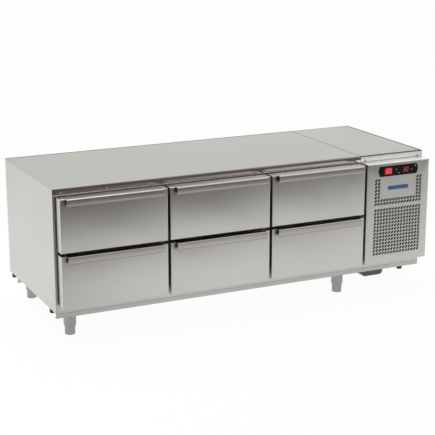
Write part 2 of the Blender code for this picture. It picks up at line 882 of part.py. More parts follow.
def make_drawers():
    meshes = {
        "drawer_front": (drawer_front_mesh(), STEEL),
        "drawer_gasket": (gasket_mesh(), RUBBER),
        "pan_carrier": (pan_carrier_mesh(), INNER_STEEL),
    }
    runners = {"lh": middle_runner_mesh(1), "rh": middle_runner_mesh(-1)}
    for column, column_name in enumerate(COLUMN_NAMES):
        for row, row_name in enumerate(ROW_NAMES):
            where = f"{row_name}_{column_name}"
            place = Vector((drawer_left(column) + DRAWER_WIDTH / 2, Y_FRONT, drawer_top(row)))
            drawer = carrier_empty(f"drawer_{where}", place)
            for name, (mesh, material) in meshes.items():
                carry(drawer, link(f"{name}_{where}", mesh, place, material, PARTS))
            middle = carrier_empty(f"runners_{where}", place)
            for hand, mesh in runners.items():
                piece = link(f"middle_runner_{where}_{hand}", mesh, place, INNER_STEEL, PARTS)
                carry(middle, piece)


def make_base_rails():
    """Two folded channels under the body, open towards each other."""
    high = Z_BODY - GAP
    depth = RAIL_DEPTH
    front = [
        (Y_FRONT + depth, Z_RAIL),
        (Y_FRONT, Z_RAIL),
        (Y_FRONT, high),
        (Y_FRONT + depth, high),
    ]
    extrusion("front_base_rail", [sheet(front[::-1], SHEET)], "X", X_LEFT, X_RIGHT, STEEL, PARTS)
    rear_face = Y_BACK - RAIL_BACK_INSET
    rear = [(rear_face + depth, Z_RAIL), (rear_face, Z_RAIL), (rear_face, high), (rear_face + depth, high)]
    extrusion("rear_base_rail", [sheet(rear[::-1], SHEET)], "X", X_LEFT, X_PARTITION, STEEL, PARTS)


def make_legs():
    """Four tubes with a fixing flange, each with a foot on a threaded stud."""
    bore = STUD_RADIUS + STUD_CLEAR
    top = Z_BODY - GAP
    shoulder = FOOT_HEIGHT + GAP
    bore_top = FOOT_HEIGHT + STUD_LENGTH + STUD_HEAD_CLEAR
    leg_profile = [
        (0, top),
        (LEG_FLANGE_RADIUS, top),
        (LEG_FLANGE_RADIUS, top - LEG_FLANGE_THICKNESS),
        (LEG_RADIUS, top - LEG_FLANGE_THICKNESS),
        (LEG_RADIUS, shoulder + LEG_CHAMFER),
        (LEG_RADIUS - LEG_CHAMFER / 2, shoulder),
        (bore, shoulder),
        (bore, bore_top),
        (0, bore_top),
    ]
    foot_profile = [
        (0, FOOT_HEIGHT + STUD_LENGTH),
        (STUD_RADIUS, FOOT_HEIGHT + STUD_LENGTH),
        (STUD_RADIUS, FOOT_HEIGHT),
        (FOOT_NECK_RADIUS, FOOT_HEIGHT),
        (FOOT_RADIUS, FOOT_HEIGHT - FOOT_NECK_HEIGHT),
        (FOOT_RADIUS, FOOT_SOLE_CHAMFER),
        (FOOT_RADIUS - FOOT_SOLE_CHAMFER, 0),
        (0, 0),
    ]
    leg_mesh = frozen(turned("leg_tube", leg_profile, (0, 0, 0), STEEL, CUTTERS))
    foot_mesh = frozen(turned("leg_foot", foot_profile, (0, 0, 0), STEEL, CUTTERS))
    for end, y in (("front", Y_FRONT + LEG_FRONT_INSET), ("rear", Y_BACK - LEG_BACK_INSET)):
        for hand, x in (("left", X_LEFT + LEG_SIDE_INSET), ("right", X_SEAM - LEG_SEAM_INSET)):
            smooth(link(f"leg_{end}_{hand}", leg_mesh, (x, y, 0), STEEL, PARTS))
            foot = smooth(link(f"foot_{end}_{hand}", foot_mesh, Vector((x, y, 0)), STEEL, PARTS))
            carry(carrier_empty(f"foot_{end}_{hand}_axis", Vector((x, y, 0))), foot)


def make_machine_base():
    open_box(
        "machine_base",
        (X_BAY, Y_FRONT + RAIL_DEPTH + GAP, Z_RAIL),
        (X_RIGHT, Y_BACK, Z_BODY - GAP),
        [(0, 0, -1)],
        SHEET,
        GALVANISED,
    )


def make_machine_cover():
    """The right side and the back of the machine bay, one folded sheet, with
    vents in the back."""
    path = [(X_RIGHT, Y_FRONT), (X_RIGHT, Y_BACK), (X_BAY, Y_BACK)]
    cover = extrusion("machine_cover", [sheet(path, SHEET)], "Z", Z_BODY, Z_LIP - GAP, STEEL, PARTS)
    first = Z_BODY + VENT_FIRST_SHARE * (Z_LIP - Z_BODY)
    for number in range(VENT_COUNT):
        bottom = first + number * VENT_PITCH
        vent = box(
            f"rear_vent_{number + 1}",
            (X_BAY + VENT_MARGIN, Y_BACK - OVERRUN, bottom),
            (X_RIGHT - VENT_MARGIN, Y_BACK + OVERRUN, bottom + VENT_HEIGHT),
        )
        cut(cover, vent)


def slot_outline(x, z):
    """A slot: a rectangle that leans to the right, about its own middle."""
    middle = Vector((x, z))
    along = Vector((math.sin(SLOT_LEAN), math.cos(SLOT_LEAN))) * SLOT_LENGTH / 2
    across = Vector((math.cos(SLOT_LEAN), -math.sin(SLOT_LEAN))) * SLOT_WIDTH / 2
    return [
        middle - along - across,
        middle - along + across,
        middle + along + across,
        middle + along - across,
    ]


def slot_centres():
    """Rows and columns of slots, with a plain band under the upper rows and a
    plain field for a badge between their outer columns."""
    for row in range(SLOT_ROWS):
        band = SLOT_BAND if row >= SLOT_UPPER_ROWS else 0
        for column in range(SLOT_COLUMNS):
            inside = PLAIN_MARGIN <= column < SLOT_COLUMNS - PLAIN_MARGIN
            if row < PLAIN_ROWS and inside:
                continue
            yield X_SLOTS + column * SLOT_PITCH_X, Z_SLOTS - row * SLOT_PITCH_Z - band


def bezel_outline(margin):
    """The bezel's outline, drawn in by a margin: level sides, arched ends."""
    half = BEZEL_WIDTH / 2 - BEZEL_END_BULGE - margin
    rise = BEZEL_HEIGHT / 2 - margin
    points = []
    for side in (1, -1):
        for step in range(BEZEL_ARC_STEPS + 1):
            share = 2 * step / BEZEL_ARC_STEPS - 1
            bulge = BEZEL_END_BULGE * (1 - share * share)
            points.append((X_BEZEL + side * (half + bulge), Z_BEZEL + side * rise * share))
    return points


def make_grille_panel():
    """The front cover of the machine bay: a deep folded tray, perforated."""
    panel = open_box(
        "grille_panel",
        (X_PANEL, Y_FACE, Z_DRAWERS_BOTTOM),
        (X_PANEL_RIGHT, Y_FRONT - GAP, Z_DRAWERS_TOP),
        [(0, 1, 0)],
        SHEET,
        STEEL,
        PANEL_EDGE_RADIUS,
    )
    merged = bmesh.new()
    for x, z in slot_centres():
        slot = extrusion("slot", [slot_outline(x, z)], "Y", Y_FACE - OVERRUN, Y_FACE + OVERRUN)
        slot.data.transform(Matrix.Translation(slot.location))
        merged.from_mesh(slot.data)
        bpy.data.objects.remove(slot, do_unlink=True)
    slots = link("perforations", mesh_from(merged, "perforations"), (0, 0, 0), None, CUTTERS)
    opening = extrusion(
        "bezel_opening",
        [bezel_outline(BEZEL_BODY_INSET - BODY_CLEAR)],
        "Y",
        Y_FACE - OVERRUN,
        Y_FACE + OVERRUN,
    )
    cut(panel, slots, opening)


def make_controls():
    """The black bezel, and the rocker switch on its pin."""
    face = Y_FACE - BEZEL_PROUD
    bezel = extrusion(
        "control_bezel",
        [bezel_outline(0)],
        "Y",
        face,
        Y_FACE - GAP,
        BLACK_PLASTIC,
        PARTS,
    )
    body = extrusion(
        "bezel_body",
        [bezel_outline(BEZEL_BODY_INSET)],
        "Y",
        Y_FACE - GAP - WELD,
        Y_FACE + BEZEL_BODY_DEPTH,
    )
    middle_x = X_BEZEL - SWITCH_LEFT_OF_MIDDLE
    middle_z = Z_BEZEL
    well_x = SWITCH_WIDTH / 2 + SWITCH_CLEAR
    well_z = SWITCH_HEIGHT / 2 + SWITCH_CLEAR
    well = box(
        "switch_well",
        (middle_x - well_x, face - OVERRUN, middle_z - well_z),
        (middle_x + well_x, face + SWITCH_WELL, middle_z + well_z),
    )
    display_x = X_BEZEL + DISPLAY_RIGHT_OF_MIDDLE
    display = box(
        "display_recess",
        (display_x - DISPLAY_WIDTH / 2, face - OVERRUN, middle_z - DISPLAY_HEIGHT / 2),
        (display_x + DISPLAY_WIDTH / 2, face + DISPLAY_DEPTH, middle_z + DISPLAY_HEIGHT / 2),
    )
    axis_y = face + SWITCH_WELL / 2
    pin_hole = cylinder(
        "switch_pin_hole",
        (middle_x, axis_y, middle_z),
        SWITCH_PIN_RADIUS + SHAFT_CLEAR,
        SWITCH_HEIGHT + SWITCH_THICKNESS + 2 * SHAFT_CLEAR,
    )
    fuse(bezel, body)
    cut(bezel, well, display, pin_hole)
    half = SWITCH_WIDTH / 2 - SWITCH_THICKNESS / 2
    tilt = math.tan(SWITCH_TILT) * half
    crown = face - SWITCH_PROUD
    outline = [
        (middle_x - half, crown),
        (middle_x, crown + tilt),
        (middle_x + half, crown + tilt),
        (middle_x + half, crown + tilt + SWITCH_THICKNESS),
        (middle_x + SWITCH_PIN_RADIUS, axis_y + SWITCH_PIN_RADIUS),
        (middle_x - SWITCH_PIN_RADIUS, axis_y + SWITCH_PIN_RADIUS),
        (middle_x - half, crown + SWITCH_THICKNESS),
    ]
    rocker = extrusion(
        "power_switch",
        [outline],
        "Z",
        middle_z - SWITCH_HEIGHT / 2,
        middle_z + SWITCH_HEIGHT / 2,
        RED_PLASTIC,
        PARTS,
    )
    pin = cylinder(
        "switch_pin",
        (middle_x, axis_y, middle_z),
        SWITCH_PIN_RADIUS,
        SWITCH_HEIGHT + SWITCH_THICKNESS,
    )
    fuse(rocker, pin)
    carry(carrier_empty("power_switch_axis", Vector((middle_x, axis_y, middle_z))), rocker)


def fan_mesh(name, radius, hub_radius, depth, material):
    """Leaning blades on a hub, with a bore for the shaft. The axis is Y, and the
    origin is the middle of the hub."""
    hub = cylinder(name + "_hub", (0, 0, 0), hub_radius, depth, "Y", material)
    for number in range(FAN_BLADES):
        shape = bmesh.new()
        bmesh.ops.create_grid(shape, x_segments=1, y_segments=BLADE_STEPS, size=1)
        start = number * 2 * math.pi / FAN_BLADES
        root = hub_radius - 2 * WELD
        rise = depth - BLADE_THICKNESS
        for vertex in shape.verts:
            along = (vertex.co.x + 1) / 2
            across = vertex.co.y / 2
            reach = root + along * (radius - root)
            angle = start + across * BLADE_TURN
            vertex.co = (reach * math.cos(angle), across * rise, reach * math.sin(angle))
        blade = link(f"{name}_blade_{number}", mesh_from(shape, name), (0, 0, 0), None, CUTTERS)
        wall = blade.modifiers.new("wall", "SOLIDIFY")
        wall.thickness = BLADE_THICKNESS
        wall.offset = 0
        fuse(hub, blade)
    bore = cylinder(name + "_bore", (0, depth / 2, 0), SHAFT_RADIUS + SHAFT_CLEAR, depth, "Y")
    cut(hub, bore)
    return frozen(hub)


def place_fan(name, mesh, place, material):
    fan = link(name, mesh, Vector(place), material, PARTS)
    carry(carrier_empty(name + "_axis", Vector(place)), smooth(fan))


def comb(low_x, high_x, low_y, high_y, fins, depth, lead=0, rear_fins=True):
    """A block's outline (x, y) with grooves between fins on its front, and on its
    rear if asked for. A plain length of its own may come before the first fin."""
    pitch = (high_x - low_x) / fins
    fin = pitch * FIN_SHARE
    front = []
    for number in range(fins):
        x = low_x + number * pitch
        front += [(x, low_y), (x + fin, low_y)]
        if number < fins - 1:
            front += [(x + fin, low_y + depth), (x + pitch, low_y + depth)]
    front[0] = (low_x - lead, low_y)
    front[-1] = (high_x, low_y)
    if not rear_fins:
        return front + [(high_x, high_y), (low_x - lead, high_y)]
    rear = [(x, high_y - (y - low_y)) for x, y in front[::-1]]
    return front + rear


def make_condensing_unit():
    """The finned condenser, its fan in a shroud, and the compressor."""
    middle_x = (X_BAY + X_RIGHT) / 2
    low_x = middle_x - CONDENSER_WIDTH / 2
    high_x = middle_x + CONDENSER_WIDTH / 2
    low_y = Y_FRONT + CONDENSER_FRONT_INSET
    high_y = low_y + CONDENSER_DEPTH
    foot = Z_BODY
    head = foot + CONDENSER_HEIGHT
    condenser = extrusion(
        "condenser",
        [comb(low_x, high_x, low_y, high_y, CONDENSER_FINS, FIN_DEPTH)],
        "Z",
        foot + CONDENSER_PLATE / 2,
        head - CONDENSER_PLATE / 2,
        ALUMINIUM,
        PARTS,
    )
    for end, z in (("foot", foot), ("head", head - CONDENSER_PLATE)):
        plate = box(f"condenser_{end}", (low_x, low_y, z), (high_x, high_y, z + CONDENSER_PLATE))
        fuse(condenser, plate)

    fan_z = foot + CONDENSER_HEIGHT / 2
    bore = FAN_RADIUS + FAN_TIP_CLEAR
    shroud_y = high_y + SHROUD_GAP
    shroud = box(
        "fan_shroud",
        (low_x, shroud_y, foot),
        (high_x, shroud_y + SHROUD_THICKNESS, head),
        GALVANISED,
        PARTS,
    )
    shroud_bore = cylinder(
        "shroud_bore",
        (middle_x, shroud_y + SHROUD_THICKNESS / 2, fan_z),
        bore,
        SHROUD_THICKNESS + 2 * OVERRUN,
        "Y",
    )
    cut(shroud, shroud_bore)
    side_reach = SHROUD_GAP - GAP
    for hand, x in (("left", low_x), ("right", high_x - SHEET)):
        web = box(
            f"shroud_web_{hand}",
            (x, shroud_y - side_reach, foot),
            (x + SHEET, shroud_y + WELD, head),
        )
        fuse(shroud, web)
    fan_y = shroud_y + SHROUD_THICKNESS / 2
    motor_front = fan_y + FAN_DEPTH / 2 + FAN_SPACER
    arm = box(
        "fan_arm",
        (middle_x - FAN_ARM_WIDTH / 2, motor_front, fan_z - bore - FAN_ARM_WIDTH),
        (middle_x + FAN_ARM_WIDTH / 2, motor_front + FAN_ARM_THICKNESS, fan_z + bore + FAN_ARM_WIDTH),
    )
    fuse(shroud, arm)
    for end, z in (("lower", fan_z - bore - FAN_ARM_WIDTH), ("upper", fan_z + bore)):
        foot_block = box(
            f"fan_arm_{end}",
            (middle_x - FAN_ARM_WIDTH / 2, shroud_y + SHROUD_THICKNESS - WELD, z),
            (middle_x + FAN_ARM_WIDTH / 2, motor_front + WELD, z + FAN_ARM_WIDTH),
        )
        fuse(shroud, foot_block)
    motor = cylinder(
        "fan_motor",
        (middle_x, motor_front + FAN_MOTOR_LENGTH / 2, fan_z),
        FAN_MOTOR_RADIUS,
        FAN_MOTOR_LENGTH,
        "Y",
    )
    shaft_length = FAN_DEPTH / 2 + FAN_SPACER + WELD - GAP
    shaft = cylinder(
        "fan_shaft",
        (middle_x, motor_front + WELD - shaft_length / 2, fan_z),
        SHAFT_RADIUS,
        shaft_length,
        "Y",
    )
    fuse(shroud, motor, shaft)
    mesh = fan_mesh("condenser_fan", FAN_RADIUS, FAN_HUB_RADIUS, FAN_DEPTH, BLACK_PLASTIC)
    place_fan("condenser_fan", mesh, (middle_x, fan_y, fan_z), BLACK_PLASTIC)

    centre_y = Y_BACK - COMPRESSOR_BACK_INSET
    r = COMPRESSOR_RADIUS
    lift = COMPRESSOR_MOUNT_HEIGHT
    height = COMPRESSOR_HEIGHT
    seam = lift + height * COMPRESSOR_SEAM_SHARE
    shoulder = lift + height * COMPRESSOR_SHOULDER_SHARE
    profile = [
        (0, lift + height),
        (r * COMPRESSOR_DOME_SHARE, (shoulder + lift + height) / 2),
        (r, shoulder),
        (r, seam),
        (r + COMPRESSOR_SEAM, seam),
        (r + COMPRESSOR_SEAM, seam - COMPRESSOR_SEAM_HEIGHT),
        (r, seam - COMPRESSOR_SEAM_HEIGHT),
        (r, lift + height * COMPRESSOR_WAIST_SHARE),
        (r * COMPRESSOR_FOOT_SHARE, lift),
        (0, lift),
    ]
    compressor = turned("compressor", profile, (middle_x, centre_y, foot), BLACK_PAINT)
    plate = box(
        "compressor_plate",
        (middle_x - COMPRESSOR_PLATE_WIDTH / 2, centre_y - COMPRESSOR_PLATE_DEPTH / 2, foot + lift - GAP),
        (
            middle_x + COMPRESSOR_PLATE_WIDTH / 2,
            centre_y + COMPRESSOR_PLATE_DEPTH / 2,
            foot + lift + COMPRESSOR_PLATE_THICKNESS,
        ),
    )
    fuse(compressor, plate)
    mount_x = COMPRESSOR_PLATE_WIDTH / 2 - COMPRESSOR_MOUNT_INSET
    mount_y = COMPRESSOR_PLATE_DEPTH / 2 - COMPRESSOR_MOUNT_INSET
    for number, (side_x, side_y) in enumerate(((-1, -1), (1, -1), (-1, 1), (1, 1))):
        mount = cylinder(
            f"compressor_mount_{number + 1}",
            (middle_x + side_x * mount_x, centre_y + side_y * mount_y, foot + lift / 2),
            COMPRESSOR_MOUNT_RADIUS,
            lift,
        )
        fuse(compressor, mount)
    for side in (-1, 1):
        pipe = cylinder(
            f"compressor_pipe_{side}",
            (middle_x + side * r / 2, centre_y, foot + shoulder + PIPE_RISE / 2),
            PIPE_RADIUS,
            PIPE_RISE + lift + height - shoulder,
        )
        fuse(compressor, pipe)


def make_evaporator():
    """A slim finned coil on the back wall of the cold room, with an axial fan."""
    wall = Y_CAVITY_BACK - GAP
    front = wall - EVAPORATOR_DEPTH
    left = opening_left(EVAPORATOR_COLUMN) - EVAPORATOR_SIDE_REACH
    high = Z_CAVITY_TOP - EVAPORATOR_TOP_CLEAR
    low = high - EVAPORATOR_HEIGHT
    bore = AIR_FAN_RADIUS + FAN_TIP_CLEAR
    fan_box = 2 * (bore + AIR_FAN_MARGIN)
    right = left + OPENING_WIDTH + 2 * EVAPORATOR_SIDE_REACH
    depth = EVAPORATOR_FIN_DEPTH
    coil = extrusion(
        "evaporator",
        [comb(left + fan_box, right, front, wall, EVAPORATOR_FINS, depth, fan_box, False)],
        "Z",
        low,
        high,
        ALUMINIUM,
        PARTS,
    )
    middle_z = (low + high) / 2
    fan_x = left + fan_box / 2
    fan_y = front + AIR_FAN_DEPTH / 2
    well_depth = AIR_FAN_DEPTH + FAN_SPACER
    well = cylinder(
        "air_fan_well",
        (fan_x, front + well_depth / 2 - OVERRUN / 2, middle_z),
        bore,
        well_depth + OVERRUN,
        "Y",
    )
    cut(coil, well)
    shaft_length = FAN_SPACER + AIR_FAN_DEPTH / 2 + WELD - GAP
    shaft = cylinder(
        "air_fan_shaft",
        (fan_x, front + well_depth + WELD - shaft_length / 2, middle_z),
        SHAFT_RADIUS,
        shaft_length,
        "Y",
    )
    fuse(coil, shaft)
    mesh = fan_mesh("evaporator_fan", AIR_FAN_RADIUS, AIR_FAN_HUB_RADIUS, AIR_FAN_DEPTH, BLACK_PLASTIC)
    place_fan("evaporator_fan", mesh, (fan_x, fan_y, middle_z), BLACK_PLASTIC)


def make_drip_tray():
    """A pressed pan with a rim, hung under the machine base."""
    top = Z_BODY - GAP - SHEET - GAP
    left = X_BAY + TRAY_BAY_INSET
    near = Y_FRONT + TRAY_FRONT_INSET
    shape = bmesh.new()
    bmesh.ops.create_cube(shape, size=1)
    bmesh.ops.scale(shape, vec=(TRAY_WIDTH, TRAY_DEPTH, TRAY_HEIGHT), verts=shape.verts)
    low = [vertex for vertex in shape.verts if vertex.co.z < 0]
    bmesh.ops.scale(shape, vec=(TRAY_TAPER_SHARE, TRAY_TAPER_SHARE, 1), verts=low)
    open_top = [face for face in shape.faces if face.normal.z > FACES_UP_SHARE]
    bmesh.ops.delete(shape, geom=open_top, context="FACES_ONLY")
    rounded_edges = [edge for edge in shape.edges if not edge.is_boundary]
    bmesh.ops.bevel(
        shape,
        geom=rounded_edges,
        offset=TRAY_EDGE_RADIUS,
        segments=TRAY_EDGE_STEPS,
        profile=ROUND_PROFILE,
        affect="EDGES",
    )
    rim = [edge for edge in shape.edges if edge.is_boundary]
    grown = bmesh.ops.extrude_edge_only(shape, edges=rim)
    outer = [item for item in grown["geom"] if isinstance(item, bmesh.types.BMVert)]
    wide = (TRAY_WIDTH + 2 * TRAY_RIM) / TRAY_WIDTH
    deep = (TRAY_DEPTH + 2 * TRAY_RIM) / TRAY_DEPTH
    bmesh.ops.scale(shape, vec=(wide, deep, 1), verts=outer)
    bmesh.ops.recalc_face_normals(shape, faces=shape.faces)
    place = Vector((left + TRAY_WIDTH / 2, near + TRAY_DEPTH / 2, top - TRAY_HEIGHT / 2))
    tray = link("drip_tray", mesh_from(shape, "drip_tray"), place, STEEL, PARTS)
    wall = tray.modifiers.new("wall", "SOLIDIFY")
    wall.thickness = SHEET
    wall.offset = -1
    wall.use_even_offset = True
    smooth(tray)


make_tops()
make_shell()
make_front_frame()
make_racks()
make_drawers()
make_base_rails()
make_legs()
make_machine_base()
make_machine_cover()
make_grille_panel()
make_controls()
make_condensing_unit()
make_evaporator()
make_drip_tray()
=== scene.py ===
# %% [markdown]
# # A refrigerated chef base
# This is a low counter fridge that stands under cooking equipment. Six insulated
# drawers run out on telescopic runners, and the machine that cools them sits behind
# the perforated panel at the right. The CAD model already gives every place and
# size, so this script loads it first and never moves it. What follows dresses it:
# folded sheet with real bend radii, brushed steel, rubber, plastic and light.

import json
import math

import bmesh
import bpy
import numpy as np
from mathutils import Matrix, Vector


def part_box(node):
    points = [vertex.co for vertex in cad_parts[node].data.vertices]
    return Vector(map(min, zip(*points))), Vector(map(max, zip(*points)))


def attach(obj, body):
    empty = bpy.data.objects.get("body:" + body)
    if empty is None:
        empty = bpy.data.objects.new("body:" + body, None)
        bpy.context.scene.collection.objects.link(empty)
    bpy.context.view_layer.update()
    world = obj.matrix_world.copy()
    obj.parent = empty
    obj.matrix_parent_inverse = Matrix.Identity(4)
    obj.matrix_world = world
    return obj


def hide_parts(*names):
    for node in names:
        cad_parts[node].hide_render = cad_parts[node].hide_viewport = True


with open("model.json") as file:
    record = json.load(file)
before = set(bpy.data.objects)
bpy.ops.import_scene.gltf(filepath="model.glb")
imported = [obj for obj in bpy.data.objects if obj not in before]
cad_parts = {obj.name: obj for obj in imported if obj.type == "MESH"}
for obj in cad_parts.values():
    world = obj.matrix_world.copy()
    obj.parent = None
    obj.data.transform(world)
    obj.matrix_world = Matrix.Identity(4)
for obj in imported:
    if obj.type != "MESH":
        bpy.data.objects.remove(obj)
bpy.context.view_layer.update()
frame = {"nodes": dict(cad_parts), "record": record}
nodes = frame["nodes"]
bodies = frame["record"]["behaviour"]["bodies"]
body_of = {node: body for body, held in bodies.items() for node in held}

# %% [markdown]
# ## The camera
# A photograph like this is taken from standing height with a long lens. Solving for
# the place from which all the straight edges line up gives the camera's position,
# its turn to the right, its tilt down, and its focal length on a 36 mm wide sensor.

# %% Place the camera
CAMERA_PLACE = (-2.3417, -4.8348, 1.8016)
CAMERA_TURN = math.radians(25.693)
CAMERA_TILT = math.radians(15.061)
CAMERA_LENS = 102.65
SENSOR_WIDTH = 36.0

camera_data = bpy.data.cameras.new("photo_camera")
camera_data.lens = CAMERA_LENS
camera_data.sensor_width = SENSOR_WIDTH
camera = bpy.data.objects.new("photo_camera", camera_data)
camera.location = CAMERA_PLACE
camera.rotation_euler = (math.pi / 2 - CAMERA_TILT, 0.0, -CAMERA_TURN)
bpy.context.scene.collection.objects.link(camera)
bpy.context.scene.camera = camera

# %% [markdown]
# ## Surfaces from arrays
# Nearly all of this unit is bent sheet. Each piece is a grid of points that numpy
# works out in one go: a cross-section on one axis of the grid, and the way that it
# travels on the other. One helper turns such a grid into a mesh. It joins the ends
# of an axis where the surface comes round on itself, and closes the open ends.

# %% A grid becomes a mesh
MERGE_REACH = 2e-6
SHARP_ANGLE = math.radians(32)
BEVEL_ANGLE = math.radians(40)


def grid_faces(rows, columns, wrap_rows=False, wrap_columns=False):
    """Each face joins a point to the next along both axes. Where an axis wraps,
    the last point's neighbour is the first."""
    i = np.arange(rows if wrap_rows else rows - 1)
    j = np.arange(columns if wrap_columns else columns - 1)
    a, b = np.meshgrid(i, j, indexing="ij")
    c, d = (a + 1) % rows, (b + 1) % columns
    quads = np.stack([a * columns + b, c * columns + b, c * columns + d, a * columns + d], axis=-1)
    return quads.reshape(-1, 4)


def piece_from(name, points, faces, flat_ends=()):
    """A mesh object from an array of points and lists of faces. Doubled points are
    merged and the faces are turned outwards."""
    mesh = bpy.data.meshes.new(name)
    mesh.from_pydata(points.reshape(-1, 3).tolist(), [], [tuple(f) for f in (*faces, *flat_ends)])
    shape = bmesh.new()
    shape.from_mesh(mesh)
    bmesh.ops.remove_doubles(shape, verts=shape.verts, dist=MERGE_REACH)
    bmesh.ops.recalc_face_normals(shape, faces=shape.faces)
    shape.to_mesh(mesh)
    shape.free()
    mesh.shade_smooth()
    mesh.set_sharp_from_angle(angle=SHARP_ANGLE)
    made = bpy.data.objects.new(name, mesh)
    bpy.context.scene.collection.objects.link(made)
    return made


def soften(piece, width):
    """A small rounding on every edge that turns by more than an angle."""
    edge = piece.modifiers.new("edge", "BEVEL")
    edge.width = width
    edge.segments = 2
    edge.limit_method = "ANGLE"
    edge.angle_limit = BEVEL_ANGLE
    edge.harden_normals = True
    return piece


def walled(piece, thickness):
    """Sheet of one thickness, to the inner side of the surface."""
    wall = piece.modifiers.new("wall", "SOLIDIFY")
    wall.thickness = thickness
    wall.offset = -1


def settle(piece, node, finish, *replaced):
    """Gives a piece its finish, and its place on the body that carries a node."""
    if not piece.data.materials:
        piece.data.materials.append(finish)
    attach(piece, body_of[node])
    if replaced:
        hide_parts(*replaced)


def finish_by_facing(piece, finishes, choose):
    """Several finishes on one piece: a rule takes the faces' normals, all at once,
    and gives each face the number of its finish."""
    for finish in finishes:
        piece.data.materials.append(finish)
    normals = np.array([polygon.normal for polygon in piece.data.polygons])
    chosen = choose(normals).astype(np.int32)
    piece.data.polygons.foreach_set("material_index", chosen)

# %% [markdown]
# ## Two ways to carry a cross-section
# A folded sheet keeps one section along a straight line: a lip, a top, a lip. A
# drawer front, a plate or a pad is a rounded rectangle that changes from level to
# level. Drawing the rectangle in by the same amount that the depth goes up along a
# quarter circle is what rounds its edge.

# %% Sections and levels
def bend_line(corners, radius, steps):
    """A line through the corners, where each inner corner is an arc of the radius,
    touching both straights."""
    corners = np.array(corners, float)
    line = [corners[0]]
    for before, here, after in zip(corners, corners[1:], corners[2:]):
        back = (before - here) / np.linalg.norm(before - here)
        ahead = (after - here) / np.linalg.norm(after - here)
        half = math.acos(np.clip(back @ ahead, -1, 1)) / 2
        centre = here + (back + ahead) / np.linalg.norm(back + ahead) * radius / math.sin(half)
        first = here + back * radius / math.tan(half) - centre
        side = np.sign(back[1] * ahead[0] - back[0] * ahead[1])
        angle = side * np.linspace(0, math.pi - 2 * half, steps + 1)
        cos, sin = np.cos(angle), np.sin(angle)
        arc = [first[0] * cos - first[1] * sin, first[0] * sin + first[1] * cos]
        line.extend(centre + np.stack(arc, axis=1))
    return np.array([*line, corners[-1]])


def folded_sheet(name, line, thickness, start, end):
    """A sheet of one thickness whose outer face follows a line in (y, z), pulled
    along x. The inner face is the line moved along its own mitred normals."""
    runs = np.diff(line, axis=0)
    runs /= np.linalg.norm(runs, axis=1)[:, None]
    sides = np.stack([-runs[:, 1], runs[:, 0]], axis=1)
    before = np.vstack([sides[:1], sides])
    after = np.vstack([sides, sides[-1:]])
    mitre = before + after
    mitre /= np.sum(mitre * before, axis=1)[:, None]
    loop = np.vstack([line, (line + mitre * thickness)[::-1]])
    count = len(loop)
    points = np.zeros((2, count, 3))
    points[:, :, 0] = np.array([start, end])[:, None]
    points[:, :, 1:] = loop
    k = np.arange(len(line) - 1)
    cap = np.stack([k, k + 1, count - 2 - k, count - 1 - k], axis=1)
    faces = np.vstack([grid_faces(2, count, wrap_columns=True), cap, cap + count])
    return piece_from(name, points, faces)


def rounded_rectangle(width, height, radius, steps=5):
    """Points round a rectangle whose corners are quarter circles: the corner
    centres plus the radius times (cos, sin) of an angle that turns once."""
    angle = np.concatenate([q * math.pi / 2 + np.linspace(0, math.pi / 2, steps + 1) for q in range(4)])
    corners = np.repeat([(1, 1), (-1, 1), (-1, -1), (1, -1)], steps + 1, axis=0)
    circle = np.stack([np.cos(angle), np.sin(angle)], axis=1)
    return corners * (width / 2 - radius, height / 2 - radius) + radius * circle


AXES = {"y": (0, 2, 1), "z": (0, 1, 2), "x": (1, 2, 0)}
LEAST_CORNER = 0.15


def placed(across, up, along, axis, centre):
    """Points moved to a centre, from their places across, up and along an axis."""
    points = np.zeros((*across.shape, 3))
    u, v, w = AXES[axis]
    points[..., u], points[..., v], points[..., w] = across, up, along
    return points + np.array(centre)


def levelled(name, outlines, depths, centre, axis="y", closed=(0, -1)):
    """Outlines, one for each depth along an axis, joined level by level. The levels
    in closed get a flat end. With none closed, the last joins the first."""
    outlines = np.array(outlines)
    levels, count = outlines.shape[:2]
    points = placed(outlines[..., 0], outlines[..., 1], np.array(depths)[:, None], axis, centre)
    faces = grid_faces(levels, count, wrap_rows=not closed, wrap_columns=True)
    ends = [np.arange(count) + level % levels * count for level in closed]
    return piece_from(name, points, faces, ends)


def rounded_block(name, size, corner, profile, centre, axis="y", closed=(0, -1)):
    """One rounded rectangle for each (inset, depth) of a profile: the sides shrink
    by two insets, and the corner radius by one, down to a least share of itself."""
    insets, depths = zip(*profile)
    radii = [max(corner - inset, corner * LEAST_CORNER) for inset in insets]
    outlines = [rounded_rectangle(*np.subtract(size, 2 * i), r) for i, r in zip(insets, radii)]
    return levelled(name, outlines, depths, centre, axis, closed)


def quarter(start, end, across_first=True, steps=5):
    """A quarter of an ellipse between two points. It leaves the start along one axis
    and reaches the end along the other: the way on the first axis goes with the
    sine of an angle, and on the second with one minus its cosine."""
    t = np.linspace(0, math.pi / 2, steps + 1)
    shares = np.stack([np.sin(t), 1 - np.cos(t)], axis=1)
    shares = shares if across_first else shares[:, ::-1]
    return (np.array(start) + np.subtract(end, start) * shares).tolist()


def turned(name, profile, centre, axis="z", steps=40):
    """A profile of (radius, height) turned about an axis: each point goes round a
    circle of its radius. Poles are where the radius is zero."""
    radius, height = np.split(np.array(profile), 2, axis=1)
    angle = np.linspace(0, 2 * math.pi, steps, endpoint=False)
    points = placed(radius * np.cos(angle), radius * np.sin(angle), height, axis, centre)
    return piece_from(name, points, grid_faces(len(profile), steps, wrap_columns=True))

